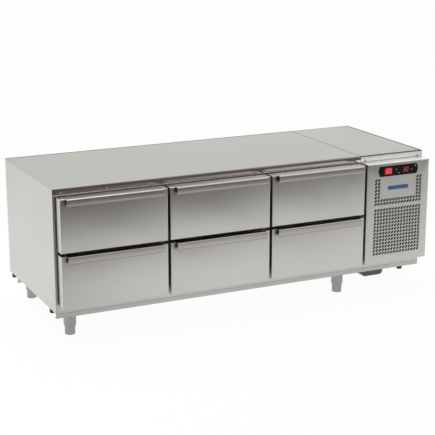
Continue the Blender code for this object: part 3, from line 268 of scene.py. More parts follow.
# %% [markdown]
# ## Brushed steel
# Stainless sheet is a mirror with fine scratches, all in one direction. The metal's
# colour is even. What makes it read as brushed is its roughness, which changes in
# long thin streaks, and a slight bump in the same streaks. Both come from noise that
# is stretched: a few repeats a metre along the grain, and many hundreds across it.
# Wiping and handling add broad faint clouds, which a second, slow noise gives. Painted shade darkens the
# folds, the far edges of the tops and both sides of the seam. Painted shade also turns the frame behind
# the perforated panel nearly black, where the machine bay is dark.

# %% Steel finishes
NOISE_RANGE = (0.3, 0.7)


def feed(node, inputs):
    """Each input of a node is linked to a socket, or set to a plain value."""
    for name, given in inputs.items():
        if isinstance(given, bpy.types.NodeSocket):
            node.id_data.links.new(given, node.inputs[name])
        else:
            node.inputs[name].default_value = given
    return node


def add_node(owner, kind, inputs, **settings):
    """A new shader node in the tree of its owner, which is a tree, node or socket.
    Its settings come first, since they decide its inputs."""
    node = owner.id_data.nodes.new("ShaderNode" + kind)
    for name, value in settings.items():
        setattr(node, name, value)
    return feed(node, inputs)


def new_finish(name):
    """A new material, and its main shader."""
    finish = bpy.data.materials.new(name)
    finish.use_nodes = True
    return finish, finish.node_tree.nodes["Principled BSDF"]


def object_place(owner):
    return add_node(owner, "TexCoord", {}).outputs["Object"]


def noise(owner, scale, detail, mapping=(1.0, 1.0, 1.0)):
    """A noise texture on Object coordinates, stretched by a Mapping node."""
    stretch = add_node(owner, "Mapping", {"Vector": object_place(owner), "Scale": mapping})
    inputs = {"Vector": stretch.outputs["Vector"], "Scale": scale, "Detail": detail}
    return add_node(owner, "TexNoise", inputs).outputs["Fac"]


def spread(value, low, high, start=0.0, end=1.0):
    """A value taken from one range, start to end, to another, low to high."""
    inputs = {"Value": value, "From Min": start, "From Max": end, "To Min": low, "To Max": high}
    return add_node(value, "MapRange", inputs).outputs["Result"]


def two_tones(value, first, second, ends=NOISE_RANGE):
    """A colour between two, chosen by a value."""
    ramp = add_node(value, "ValToRGB", {"Fac": value})
    for stop, place, colour in zip(ramp.color_ramp.elements, ends, (first, second)):
        stop.position, stop.color = place, (*colour, 1)
    return ramp.outputs["Color"]


def combined(operation, first, second):
    """Two values joined by an operation of the Math node."""
    return add_node(first, "Math", {0: first, 1: second}, operation=operation).outputs[0]


def scaled(colour, share):
    """A colour times a share."""
    inputs = {0: colour, "Scale": share}
    return add_node(colour, "VectorMath", inputs, operation="SCALE").outputs["Vector"]


def bumped(shader, value, strength, distance):
    """Light falls as if the value were a height, at most the distance."""
    bump = add_node(shader, "Bump", {"Height": value, "Strength": strength, "Distance": distance})
    feed(shader, {"Normal": bump.outputs["Normal"]})


def painted_shade_within(colour, ramps, level):
    """A colour darkened by painted shade: it falls to a share of itself where every ramp has reached one.
    A ramp rises from nothing to one between two places on an axis."""
    place = add_node(colour, "SeparateXYZ", {"Vector": object_place(colour)}).outputs
    share, *others = [spread(place[axis], 0.0, 1.0, *ends) for axis, *ends in ramps]
    for other in others:
        share = combined("MULTIPLY", share, other)
    return scaled(colour, spread(share, 1.0, level))


ALONG = 5.0
ACROSS = 2400.0
LEVEL_GRAIN = (ALONG, ALONG, ACROSS)
DEPTH_GRAIN = (ALONG, ACROSS, ALONG)
STREAK_TONES = (0.98, 1.015)
STREAK_ROUGHNESS = 0.012
STREAK_HEIGHT = 0.0002
CLOUD_SCALE = 2.2
CLOUD_ROUGHNESS = (-0.03, 0.04)


def brushed_steel(name, colour, roughness, grain=LEVEL_GRAIN, grain_depth=0.02, painted_shades=(), metal=1.0):
    """Even metal, with roughness and bump in streaks along the grain, and painted shade where it is
    given.
    """
    finish, shader = new_finish(name)
    streaks = noise(shader, 1.0, 3.0, grain)
    clouds = noise(shader, CLOUD_SCALE, 2.0)
    dark, light = ([min(1.0, c * share) for c in colour] for share in STREAK_TONES)
    tone = two_tones(streaks, dark, light)
    for ramps, level in painted_shades:
        tone = painted_shade_within(tone, ramps, level)
    fine = spread(streaks, -STREAK_ROUGHNESS, STREAK_ROUGHNESS, *NOISE_RANGE)
    low, high = (roughness + change for change in CLOUD_ROUGHNESS)
    rough = combined("ADD", fine, spread(clouds, low, high, *NOISE_RANGE))
    feed(shader, {"Base Color": tone, "Roughness": rough, "Metallic": metal})
    bumped(shader, streaks, grain_depth, STREAK_HEIGHT)
    return finish

# %% Where painted shade darkens the steel
PAINTED_SHADE_DEEP = 0.020
PAINTED_SHADE_WIDE = 0.018
PAINTED_SHADE_LEVEL = 0.08
SEAM_SHADE_WIDTH = 0.004
SEAM_SHADE_LEVEL = 0.40
BAY_SHADE_EDGE = 0.004
BAY_SHADE_LEVEL = 0.02
FLAT_FROM, FLAT_TO = 0.004, 0.001

right_x, back_y, top_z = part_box("machine_top")[1]
seam_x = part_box("machine_top")[0][0]
flat_only = ("Z", top_z - FLAT_FROM, top_z - FLAT_TO)


def shade_up_to(axis, place, width, level):
    """A ramp of painted shade on the flat top, which ends half its width before a place."""
    return [(axis, place - width, place - width / 2), flat_only], level


shade_at_back = shade_up_to("Y", back_y, PAINTED_SHADE_DEEP, PAINTED_SHADE_LEVEL)
shade_at_right = shade_up_to("X", right_x, PAINTED_SHADE_WIDE, PAINTED_SHADE_LEVEL)
seam_shade_before = shade_up_to("X", seam_x, SEAM_SHADE_WIDTH, SEAM_SHADE_LEVEL)
seam_shade_after = shade_up_to("X", seam_x, -SEAM_SHADE_WIDTH, SEAM_SHADE_LEVEL)
# Painted shade: behind the perforated panel the frame falls to near black, where the machine bay is dark.
bay_low, bay_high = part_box("grille_panel")
bay_sides = [("X", bay_low[0], BAY_SHADE_EDGE), ("Z", bay_low[2], BAY_SHADE_EDGE), ("Z", bay_high[2], -BAY_SHADE_EDGE)]
bay_shade_ramps = ([(axis, place + edge, place + 2 * edge) for axis, place, edge in bay_sides], BAY_SHADE_LEVEL)

# %% Each sheet's steel, and copies with painted light and shade
TOP_LOOK = ((0.455, 0.460, 0.415), 0.32, DEPTH_GRAIN, 0.02)
upright_steel = brushed_steel("upright_steel", (0.60, 0.597, 0.564), 0.30, grain_depth=0.008)
# The frame's steel carries the painted shade behind the perforated panel.
frame_steel = brushed_steel("frame_steel", (0.575, 0.572, 0.540), 0.32, painted_shades=[bay_shade_ramps])
edge_steel = brushed_steel("edge_steel", (0.60, 0.60, 0.57), 0.22)
side_steel = brushed_steel("side_steel", (0.60, 0.597, 0.563), 0.32)
panel_steel = brushed_steel("panel_steel", (0.58, 0.577, 0.546), 0.32)
# Painted shade darkens both tops along the back edge, the machine top along its right edge, and each top
# beside the seam.
worktop_steel = brushed_steel("worktop_steel", *TOP_LOOK, [shade_at_back, seam_shade_before])
machine_steel = brushed_steel("machine_steel", *TOP_LOOK, [shade_at_back, shade_at_right, seam_shade_after])
# Copies of the steel for single faces, with painted light and shade: a lighter, glossier front lip, dark
# folds and a near-white sheen.
painted_light_lip = brushed_steel("painted_light_lip", (0.76, 0.695, 0.705), 0.14)
painted_shade_fold = brushed_steel("painted_shade_fold", (0.185, 0.175, 0.145), 0.30)
deep_painted_shade_fold = brushed_steel("deep_painted_shade_fold", (0.095, 0.092, 0.080), 0.30)
# A darker copy for the handle's front lip: painted shade.
painted_shade_handle = brushed_steel("painted_shade_handle", (0.46, 0.43, 0.42), 0.30)
painted_sheen_steel = brushed_steel("painted_sheen_steel", (0.97, 0.97, 0.93), 0.36, metal=0.70)
# Legs and tray are darker copies of the steel: painted shade, for the shaded floor under the unit that
# they reflect.
painted_shade_leg_steel = brushed_steel("painted_shade_leg_steel", (0.38, 0.375, 0.365), 0.30)
painted_shade_tray_steel = brushed_steel("painted_shade_tray_steel", (0.12, 0.108, 0.105), 0.30)
rail_steel = brushed_steel("rail_steel", (0.50, 0.497, 0.470), 0.32)
inner_steel = brushed_steel("inner_steel", (0.62, 0.62, 0.60), 0.24)
print("steel finishes", len(bpy.data.materials))

# %% [markdown]
# ## The other finishes
# Zinc-coated sheet has flat crystals a few millimetres wide, each of its own
# brightness, which Voronoi cells give. Rubber is nearly black and dull, with dust in
# it. The control plate is a glossy moulding, with a little ripple in its gloss.

# %% Zinc, rubber, plastics and paint
DARK_SHARE = 0.8
CRYSTAL_SCALE = 90.0
CRYSTAL_ROUGHNESS = (0.34, 0.52)
MOULD_CLOUDS = 14.0
MOULD_ROUGHNESS = (0.85, 1.15)
MOULD_HEIGHT = 0.0003
LIT_GRAIN = 300.0
LIT_ROUGHNESS = 0.3


def zinc_coat(name, colour):
    """Each crystal is a Voronoi cell with a brightness and roughness of its own."""
    finish, shader = new_finish(name)
    cells = add_node(shader, "TexVoronoi", {"Vector": object_place(shader), "Scale": CRYSTAL_SCALE})
    value = add_node(shader, "SeparateColor", {"Color": cells.outputs["Color"]}).outputs["Red"]
    tone = two_tones(value, [c * DARK_SHARE for c in colour], colour, (0.0, 1.0))
    rough = spread(value, *CRYSTAL_ROUGHNESS)
    feed(shader, {"Base Color": tone, "Roughness": rough, "Metallic": 1.0})
    return finish


def moulded(name, colour, roughness, grain, depth, variation=0.7, gloss=0.5):
    """A moulded or painted surface: two close tones, uneven gloss and a fine bump."""
    finish, shader = new_finish(name)
    clouds = noise(shader, MOULD_CLOUDS, 4.0)
    tone = two_tones(clouds, [c * variation for c in colour], colour)
    low, high = (roughness * share for share in MOULD_ROUGHNESS)
    rough = spread(clouds, low, high, *NOISE_RANGE)
    feed(shader, {"Base Color": tone, "Roughness": rough, "Specular IOR Level": gloss})
    bumped(shader, noise(shader, grain, 2.0), depth, MOULD_HEIGHT)
    return finish


def lit(name, colour, strength):
    """A lamp, a lit segment or a painted glow: its own light, a little uneven."""
    finish, shader = new_finish(name)
    tone = two_tones(noise(shader, LIT_GRAIN, 1.0), [c * DARK_SHARE for c in colour], colour)
    feed(shader, {"Base Color": tone, "Emission Color": tone})
    feed(shader, {"Emission Strength": strength, "Roughness": LIT_ROUGHNESS})
    return finish


zinc = zinc_coat("zinc_sheet", (0.50, 0.51, 0.52))
rubber = moulded("gasket_rubber", (0.014, 0.014, 0.015), 0.62, 500.0, 0.15, 0.6)
pad_rubber = moulded("pad_rubber", (0.022, 0.021, 0.021), 0.55, 400.0, 0.2, 0.6)
black_gloss = moulded("black_gloss_plastic", (0.008, 0.006, 0.008), 0.12, 90.0, 0.02, gloss=0.22)
# The rocker's glow is painted light, which brightens its red key.
glowing_red_rocker = lit("red_rocker_glow", (0.80, 0.040, 0.050), 0.55)
fan_plastic = moulded("fan_plastic", (0.018, 0.018, 0.019), 0.35, 300.0, 0.1)
# Black blocks in the handle ends: painted shade for the dark inside of the channel.
shade_block_plastic = moulded("shade_block_plastic", (0.008, 0.006, 0.008), 0.55, 300.0, 0.1, gloss=0.15)
black_paint = moulded("black_paint", (0.020, 0.020, 0.021), 0.30, 160.0, 0.12)
# Near black and dull: painted shade for the dark machine bay behind the panel's slots.
bay_shade_black = moulded("painted_shade_black", (0.006, 0.006, 0.006), 0.80, 160.0, 0.12, gloss=0.15)
badge_enamel = moulded("badge_enamel", (0.035, 0.16, 0.36), 0.22, 120.0, 0.02, 0.9)
white_print = moulded("white_print", (0.75, 0.75, 0.72), 0.4, 300.0, 0.02, 0.95)
red_digit = lit("red_digit", (0.80, 0.10, 0.16), 0.7)
green_lamp = lit("green_lamp", (0.04, 0.30, 0.16), 0.35)
fins = brushed_steel("fin_aluminium", (0.75, 0.76, 0.77), 0.34, grain_depth=0.05)
print("finishes", len(bpy.data.materials))

# %% [markdown]
# ## CAD pieces that keep their shape
# Most of the hidden and half-hidden pieces are right as they are, so they only get
# their finish. Their meshes come as loose triangles, which a Weld modifier joins. A
# Bevel rounds each fold and cut edge a little, so that it catches the light.

# %% Finish the CAD pieces
WELD_REACH = 0.00001
INWARD = 0.02


def keep(node, finish, edge):
    """A CAD piece with its finish, welded, and with rounded edges if asked."""
    piece = nodes[node]
    piece.data.materials.clear()
    piece.data.materials.append(finish)
    piece.modifiers.new("weld", "WELD").merge_threshold = WELD_REACH
    if edge:
        soften(piece, edge)
    return piece


keep("cabinet_shell", side_steel, edge=0.0006)
keep("front_frame", frame_steel, edge=0.0008)
for node in nodes:
    if node.startswith(("runner_rack", "pan_carrier", "middle_runner")):
        keep(node, inner_steel, edge=0.0003)
    if node.endswith("base_rail"):
        keep(node, rail_steel, edge=0.0004)
keep("machine_base", zinc, edge=0.0004)
# The fan shroud, the condenser and the inside of the machine cover are near black: painted shade for the
# dark machine bay.
keep("fan_shroud", bay_shade_black, edge=0.0004)
keep("condenser", bay_shade_black, edge=0)
keep("evaporator", fins, edge=0)
keep("control_bezel", black_gloss, edge=0.0006)

cover = keep("machine_cover", upright_steel, edge=0.0004)
cover_middle = np.mean(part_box("machine_cover"), axis=0)
face_centres = np.array([polygon.center for polygon in cover.data.polygons])


def cover_zones(normals):
    """0 is the outside, and 1 the inside: a face that looks towards the middle."""
    return (np.sum((cover_middle - face_centres) * normals, axis=1) > INWARD).astype(int)


# The cover's inside faces get the near-black painted shade.
cover.data.materials.clear()
finish_by_facing(cover, [upright_steel, bay_shade_black], cover_zones)
print("kept", sum(bool(o.modifiers) for o in nodes.values()), "CAD pieces")

# %% [markdown]
# Round pieces can't stay as loose flat triangles, because they would show facets. A
# merged copy takes their place, with smooth shading up to its real edges.

# %% Smooth copies of the round pieces
def smooth_copy(node, finish):
    """The node's own points, merged, and shaded smooth between its sharp edges."""
    source = nodes[node].data
    points = np.array([vertex.co for vertex in source.vertices])
    faces = [polygon.vertices for polygon in source.polygons]
    settle(piece_from(node + "_smooth", points, faces), node, finish, node)


smooth_copy("condenser_fan", fan_plastic)
smooth_copy("evaporator_fan", fan_plastic)
smooth_copy("compressor", black_paint)

# %% [markdown]
# ## Worktop and machine top
# Both tops are one sheet, 2 mm thick, folded down at the front and back. The thin dark line along the
# front edge is painted shade on the fold's radius, darker on the machine top. The machine top also turns
# down at its right end. Its front lip is bent a few degrees past square. Both front lips carry painted
# light: the worktop's is a lighter, glossier copy of its steel, and the machine top's is a near-white
# satin, a painted reflection of the bright floor nearby. A bead of dark sealant fills the seam between
# the two.

# %% Fold the tops
TOP_SHEET = 0.002
TOP_RADIUS = 0.0042
MACHINE_RADIUS = 0.0062
SEAM_EASE = 0.0005
BEAD_SINK = 0.0004
LIP_TUCK = 0.0020
TOP_EDGE = 0.0004
END_ROUND = 0.0018
SQUARE_ON = 0.97
LEANING = 0.2
RISING = 0.1


def top_zones(normals):
    """0 is the flat top and the back, 1 the front fold, 2 the front lip."""
    lip = normals[:, 1] < -SQUARE_ON
    fold = (normals[:, 1] < -LEANING) & (normals[:, 2] > RISING)
    return np.where(lip, 2, np.where(fold, 1, 0))


def top_line(low, high, radius, tuck=0.0):
    """From the back lip's lower edge up, over the top and down the front, where the
    lip leans in by the tuck."""
    corners = [(high[1], low[2]), (high[1], high[2]), (low[1], high[2]), (low[1] + tuck, low[2])]
    return bend_line(corners, radius, 10)


low, high = np.array(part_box("worktop"))
seam_low = high[0] - SEAM_EASE
worktop = folded_sheet("worktop_sheet", top_line(low, high, TOP_RADIUS), TOP_SHEET, low[0], seam_low)
# The front fold gets painted shade, and the front lip a lighter tone of painted light.
finish_by_facing(worktop, [worktop_steel, painted_shade_fold, painted_light_lip], top_zones)
settle(soften(worktop, TOP_EDGE), "worktop", worktop_steel, "worktop")

low, high = np.array(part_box("machine_top"))
seam_high, end_x = low[0] + SEAM_EASE, high[0] - TOP_SHEET
line = top_line(low, high, MACHINE_RADIUS, LIP_TUCK)
machine_top = folded_sheet("machine_top_sheet", line, TOP_SHEET, seam_high, end_x)
# The machine top's fold gets deeper painted shade, and its lip a near-white painted sheen.
finish_by_facing(machine_top, [machine_steel, deep_painted_shade_fold, painted_sheen_steel], top_zones)
settle(soften(machine_top, TOP_EDGE), "machine_top", machine_steel, "machine_top")

line = top_line(low + (0, BEAD_SINK, 0), high - (0, BEAD_SINK, BEAD_SINK), TOP_RADIUS - BEAD_SINK)
settle(folded_sheet("seam_bead", line, TOP_SHEET / 2, seam_low, seam_high), "machine_top", rubber)

profile = [(0.0, 0.0)] + quarter((0.0, TOP_SHEET - END_ROUND), (END_ROUND, TOP_SHEET), False)
size, middle = (high - low)[1:], (end_x, *(low + high)[1:] / 2)
end_lip = rounded_block("machine_top_end_lip", size, MACHINE_RADIUS, profile, middle, "x")
# The narrow front edge of the end lip carries painted shade, like the fold beside it.
finish_by_facing(end_lip, [machine_steel, deep_painted_shade_fold], lambda normals: normals[:, 1] < -0.5)
settle(end_lip, "machine_top", machine_steel)
print("worktop", len(worktop.data.polygons), "faces")

# %% [markdown]
# ## Drawer fronts
# Each front is an insulated block in a steel skin, about 45 mm thick, with a raised inner panel that the
# gasket goes round. Its outline is drawn level by level from the inner panel out to the skin's back edge,
# along the sides, and round the front edge. The handle is a folded channel: its flange lies on the top of
# the drawer front, its lip hangs down before it, and a small return stiffens the lip's lower edge.
# Painted shade darkens its lip, and more deeply its inside and lower edge. A black block fills the upper
# part of each of its open ends: painted shade for the dark inside of the channel.

# %% Build one front and its handle for each drawer
HANDLE_REACH = 0.0195
FRONT_THICKNESS = 0.045
FRONT_CORNER = 0.002
FRONT_EDGE = 0.003
LINER_INSET = 0.042
HANDLE_INSET = 0.0224
HANDLE_DROP = 0.030
HANDLE_ROOT = 0.040
HANDLE_RETURN = 0.005
HANDLE_FOLD = 0.0034
HANDLE_EDGE = 0.0003
SHEET = 0.0015
LINER_ROUND = 0.003
SKIN_ROUND = 0.0012
SHADE_BLOCK_HEIGHT = 0.0175
SHADE_BLOCK_WIDTH = 0.006
SHADE_BLOCK_CLEAR = 0.0002
SHADE_BLOCK_CORNER = 0.002
SHADE_BLOCK_EDGE = 0.0008


def skin_profile(face, rear, liner):
    """(inset, depth) from the middle of the inner panel, over its rounded rim, out
    along the skin's back, forward along its side and round the front edge."""
    rim = quarter((LINER_INSET + LINER_ROUND, liner), (LINER_INSET, liner - LINER_ROUND))
    back = [(LINER_INSET, rear), (SKIN_ROUND, rear), (0.0, rear - SKIN_ROUND)]
    return rim + back + quarter((0.0, face + FRONT_EDGE), (FRONT_EDGE, face), False)


def handle_zones(normals):
    """0 is the fold, 1 the lip that faces the front, 2 the flange, 3 the inside and
    the lower edge."""
    zones = np.where(normals[:, 1] < -SQUARE_ON, 1, np.where(normals[:, 2] > SQUARE_ON, 2, 0))
    return np.where((normals[:, 1] > LEANING) | (normals[:, 2] < -LEANING), 3, zones)


drawers = [n.removeprefix("drawer_front_") for n in nodes if n.startswith("drawer_front_")]
for where in drawers:
    node = "drawer_front_" + where
    low, high = np.array(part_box(node))
    width, height = high[0] - low[0], high[2] - low[2] - SHEET
    face = low[1] + HANDLE_REACH
    profile = skin_profile(face, face + FRONT_THICKNESS, high[1])
    middle = ((low[0] + high[0]) / 2, 0.0, low[2] + height / 2)
    skin = rounded_block("drawer_skin_" + where, (width, height), FRONT_CORNER, profile, middle)
    finish_by_facing(skin, [upright_steel, edge_steel], lambda normals: normals[:, 2] > 0.9)
    settle(skin, node, upright_steel, node)
    top = high[2]
    corners = [(face + HANDLE_ROOT, top), (low[1], top), (low[1], top - HANDLE_DROP)]
    corners += [(low[1] + HANDLE_RETURN, top - HANDLE_DROP)]
    ends = (low[0] + HANDLE_INSET, high[0] - HANDLE_INSET)
    handle = folded_sheet("drawer_handle_" + where, bend_line(corners, HANDLE_FOLD, 6), SHEET, *ends)
    # The handle's front lip gets a darker copy, and its inside and lower edge get the dark fold copy:
    # painted shade.
    finish_by_facing(handle, [upright_steel, painted_shade_handle, edge_steel, painted_shade_fold], handle_zones)
    settle(soften(handle, HANDLE_EDGE), node, upright_steel)
    # A black block at each end of the handle: painted shade for the dark inside of the channel.
    shade_block_low, shade_block_high = low[1] + SHEET + SHADE_BLOCK_CLEAR, face - SHADE_BLOCK_CLEAR
    shade_block_top = top - SHEET - SHADE_BLOCK_CLEAR
    for hand, x, inward in (("left", ends[0], 1), ("right", ends[1], -1)):
        profile = [(0.0, inward * SHADE_BLOCK_WIDTH), (0.0, inward * SHADE_BLOCK_EDGE), (SHADE_BLOCK_EDGE, 0.0)]
        middle = (x, (shade_block_low + shade_block_high) / 2, shade_block_top - SHADE_BLOCK_HEIGHT / 2)
        size = (shade_block_high - shade_block_low, SHADE_BLOCK_HEIGHT)
        shade_block = rounded_block(f"handle_shade_block_{where}_{hand}", size, SHADE_BLOCK_CORNER, profile, middle, "x")
        settle(shade_block, node, shade_block_plastic)
print("drawers", drawers)

# %% [markdown]
# ## Gaskets
# A drawer gasket is a soft bellows with a magnet in its outer rib. Its section is a
# closed wavy loop, and the loop is carried round the drawer as a rounded rectangle,
# so both axes of the grid come round on themselves.

# %% Carry the bellows round each drawer
GASKET_RIB = 0.017
GASKET_CORNER = 0.004
GASKET_SLACK = 0.0002
WAVE_DEPTH = 0.0013
WAVES = 2
for where in drawers:
    node = "drawer_gasket_" + where
    low, high = np.array(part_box(node))
    share = np.linspace(0, 1, 13)
    depth = low[1] + share * (high[1] - low[1])
    wave = WAVE_DEPTH * (1 - np.cos(share * WAVES * 2 * math.pi)) / 2
    outside = list(zip(GASKET_SLACK + wave, depth))
    inside = list(zip(GASKET_RIB - GASKET_SLACK - wave[::-1], depth[::-1]))
    size, middle = (high - low)[[0, 2]], (low + high) / 2 * (1, 0, 1)
    loop = outside + inside
    gasket = rounded_block("bellows_gasket_" + where, size, GASKET_CORNER, loop, middle, closed=())
    settle(gasket, node, rubber, node)
print("gasket section", len(loop), "points")

# %% [markdown]
# ## The perforated panel
# Cooling air goes in through slots punched in rows, each leaning to the right. One
# cell of the pattern is a rectangle of sheet with a slot in it. Twelve points round
# the rectangle are joined to twelve round the slot, and a third ring a little deeper
# rounds the punched edge. Numpy adds each cell's centre to the same rings, all at
# once. One strip of blank cells parts the upper rows from the lower ones. Neighbours
# share their points, so the sheet is one surface, and Solidify gives its thickness.

# %% The pattern and one cell
SLOT_PITCH = 0.0155
SLOT_COLUMNS = 16
SLOT_ROWS = 22
SLOT_UPPER_ROWS = 8
SLOT_BAND = 0.0127
SLOT_LENGTH = 0.0161
SLOT_WIDTH = 0.0076
SLOT_LEAN = math.radians(45)
SLOT_LEFT_INSET = 0.0464
SLOT_TOP_INSET = 0.075
PLAIN_MARGIN = 2
PLAIN_ROWS = 6
PANEL_EDGE = 0.004
PANEL_SHEET = 0.0012
PUNCH_ROUND = 0.0004
PUNCH_DEPTH = 0.0005

low, high = np.array(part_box("grille_panel"))
panel_face = low[1]


def slot_ring(grow):
    """Twelve points round a slot with round ends: two half circles, parted by the
    slot's straight length, and leaning by its angle."""
    radius = SLOT_WIDTH / 2
    straight = SLOT_LENGTH / 2 - radius
    angle = np.concatenate([np.linspace(0, math.pi, 6), np.linspace(math.pi, 2 * math.pi, 6)])
    end = np.where(np.arange(12) < 6, 1, -1)
    x = (radius + grow) * np.cos(angle)
    z = (radius + grow) * np.sin(angle) + end * straight
    cos, sin = math.cos(SLOT_LEAN), math.sin(SLOT_LEAN)
    return np.stack([x * cos + z * sin, z * cos - x * sin], axis=1)


def cell_ring(width, height):
    """Twelve points round a rectangle, three to a side, starting low on its right."""
    third = np.array([-1, -1 / 3, 1 / 3])
    whole = np.ones(3)
    right_side = np.stack([whole, third], axis=1)
    top_side = np.stack([-third, whole], axis=1)
    return np.concatenate([right_side, top_side, -right_side, -top_side]) * (width / 2, height / 2)


square = cell_ring(SLOT_PITCH, SLOT_PITCH)
ring = slot_ring(0.0)
turn = np.argmin([np.sum((np.roll(ring, -k, axis=0) - square) ** 2) for k in range(12)])
rings = np.zeros((3, 12, 3))
rings[0][:, [0, 2]] = square
rings[1][:, [0, 2]] = np.roll(slot_ring(PUNCH_ROUND), -turn, axis=0)
rings[2][:, [0, 2]] = np.roll(ring, -turn, axis=0)
rings[2][:, 1] = PUNCH_DEPTH

# %% All the cells
row, column = np.meshgrid(np.arange(SLOT_ROWS), np.arange(SLOT_COLUMNS), indexing="ij")
centre_x = low[0] + SLOT_LEFT_INSET + column * SLOT_PITCH
centre_z = high[2] - SLOT_TOP_INSET - row * SLOT_PITCH - SLOT_BAND * (row >= SLOT_UPPER_ROWS)
plain = (row < PLAIN_ROWS) & (column >= PLAIN_MARGIN) & (column < SLOT_COLUMNS - PLAIN_MARGIN)
centres = np.stack([centre_x, np.full(row.shape, panel_face), centre_z], axis=-1)
punched = centres[~plain][:, None, None, :] + rings
count = len(punched)
cell_faces = grid_faces(3, 12, wrap_columns=True)
faces = (cell_faces + rings.size // 3 * np.arange(count)[:, None, None]).reshape(-1, 4)

band_ring = np.zeros((12, 3))
band_ring[:, [0, 2]] = cell_ring(SLOT_PITCH, SLOT_BAND)
band_centres = centres[SLOT_UPPER_ROWS] + (0, 0, (SLOT_PITCH + SLOT_BAND) / 2)
blank_cells = [centres[plain][:, None, :] + rings[0], band_centres[:, None, :] + band_ring]
blank_cells = np.concatenate(blank_cells)
blank_faces = punched.size // 3 + np.arange(len(blank_cells) * 12).reshape(-1, 12)
points = np.vstack([punched.reshape(-1, 3), blank_cells.reshape(-1, 3)])
print("slots", count, "blank cells", len(blank_cells))

# %% The border and the bent rim
third = np.array([0, 1 / 3, 2 / 3])
row_low = centre_z[::-1, 0] - SLOT_PITCH / 2
band_low = row_low[SLOT_ROWS - SLOT_UPPER_ROWS] - SLOT_BAND
row_points = (row_low[:, None] + third * SLOT_PITCH).ravel()
side_z = np.sort(np.concatenate([row_points, band_low + third * SLOT_BAND]))
field_low = np.array([centre_x[0, 0] - SLOT_PITCH / 2, row_low[0]])
field_size = np.array([SLOT_COLUMNS * SLOT_PITCH, row_low[-1] + SLOT_PITCH - row_low[0]])
share_x = np.append(np.arange(SLOT_COLUMNS * 3) / (SLOT_COLUMNS * 3), 1)
share_z = np.append((side_z - row_low[0]) / field_size[1], 1)
sides = [(share_x[:-1], 0), (1, share_z[:-1]), (share_x[:0:-1], 1), (0, share_z[:0:-1])]
border = np.concatenate([np.stack(np.broadcast_arrays(*side), axis=1) for side in sides])
panel_low = low[[0, 2]]
panel_size = high[[0, 2]] - panel_low
levels = quarter((PANEL_EDGE, panel_face), (0.0, panel_face + PANEL_EDGE)) + [(0.0, high[1])]
rim = np.zeros((len(levels) + 1, len(border), 3))
rim[0][:, [0, 2]] = field_low + border * field_size
rim[0][:, 1] = panel_face
for level, (inset, depth) in enumerate(levels, start=1):
    rim[level][:, [0, 2]] = panel_low + inset + border * (panel_size - 2 * inset)
    rim[level][:, 1] = depth
rim_faces = len(points) + grid_faces(len(rim), len(border), wrap_columns=True)
points = np.vstack([points, rim.reshape(-1, 3)])

panel = piece_from("perforated_panel", points, np.vstack([faces, rim_faces]), blank_faces)
if sum(polygon.normal.y for polygon in panel.data.polygons) > 0:
    panel.data.flip_normals()
# The top return, under the machine top's lip, has a painted sheen: the near-white satin copy of the
# steel.
finish_by_facing(panel, [panel_steel, painted_sheen_steel], lambda normals: normals[:, 2] > 0.8)
walled(panel, PANEL_SHEET)
settle(panel, "grille_panel", panel_steel, "grille_panel")
print("panel faces", len(panel.data.polygons))

# %% [markdown]
# ## Controls
# The black plate holds a red rocker, a green lamp and a small red display. The rocker
# is two shallow slopes that meet over its pivot, so its section is a curve and its
# ends are rounded like any moulding. The digits are plain seven-segment ones, each
# segment a six-sided bar a hair proud of the window.

# %% The rocker
ROCKER_HALF = (0.0174, 0.0128)
ROCKER_PROUD = 0.0070
ROCKER_DEEP = 0.004
ROCKER_SLOPE = 0.00225
ROCKER_CURL = 0.0006
ROCKER_ROUND = 0.0012
ROCKER_BLEND = 3.0
PIVOT_DEPTH = 0.005
PIN_RADIUS = 0.0025
PIN_HALF = 0.0148

low, high = np.array(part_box("power_switch"))
bezel_low, bezel_high = np.array(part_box("control_bezel"))
pivot = np.array([(low[0] + high[0]) / 2, bezel_low[1] + PIVOT_DEPTH, (low[2] + high[2]) / 2])


def rocker_section(inset):
    """The crown runs from the proud side down to the pressed side, as the higher of
    two straight slopes blended at the middle. The back follows it 4 mm deeper."""
    x = np.linspace(-1, 1, 17)
    half = ROCKER_HALF[0] - inset
    slope = ROCKER_SLOPE * (1 + np.tanh(ROCKER_BLEND * x)) / 2
    crown = slope + ROCKER_CURL * np.abs(x) ** 4 - ROCKER_PROUD
    front = np.stack([x * half, crown + inset], axis=1)
    back = np.stack([x[::-1] * half, crown[::-1] + ROCKER_DEEP], axis=1)
    return np.vstack([front, back])


lower_end = quarter((ROCKER_ROUND, -ROCKER_HALF[1]), (0.0, ROCKER_ROUND - ROCKER_HALF[1]))
rocker_levels = lower_end + [(inset, -depth) for inset, depth in lower_end[::-1]]
insets, depths = zip(*rocker_levels)
rocker = levelled("rocker_key", [rocker_section(inset) for inset in insets], depths, pivot, "z")
settle(rocker, "power_switch", glowing_red_rocker, "power_switch")
pin_profile = [(0, -PIN_HALF), (PIN_RADIUS, -PIN_HALF), (PIN_RADIUS, PIN_HALF), (0, PIN_HALF)]
settle(turned("rocker_pin", pin_profile, pivot, "z", 16), "power_switch", fan_plastic)
print("rocker", len(rocker.data.polygons), "faces")

# %% Window, digits, lamp and printed marks
LEFT_END = -0.875
WINDOW_X = LEFT_END + 1.622
WINDOW_SIZE = (0.0565, 0.0245)
WINDOW_CORNER = 0.002
WINDOW_PROFILE = [(0.0, 0.0011), (0.0, 0.0004), (0.0004, 0.0)]
SUNK = 0.0001
DIGIT_WIDTH = 0.0095
DIGIT_HALF = 0.0090
DIGIT_STEP = 0.016
DIGIT_LEAN = 0.1
SEGMENT_HALF = 0.0007
SEGMENT_PROUD = 0.0002

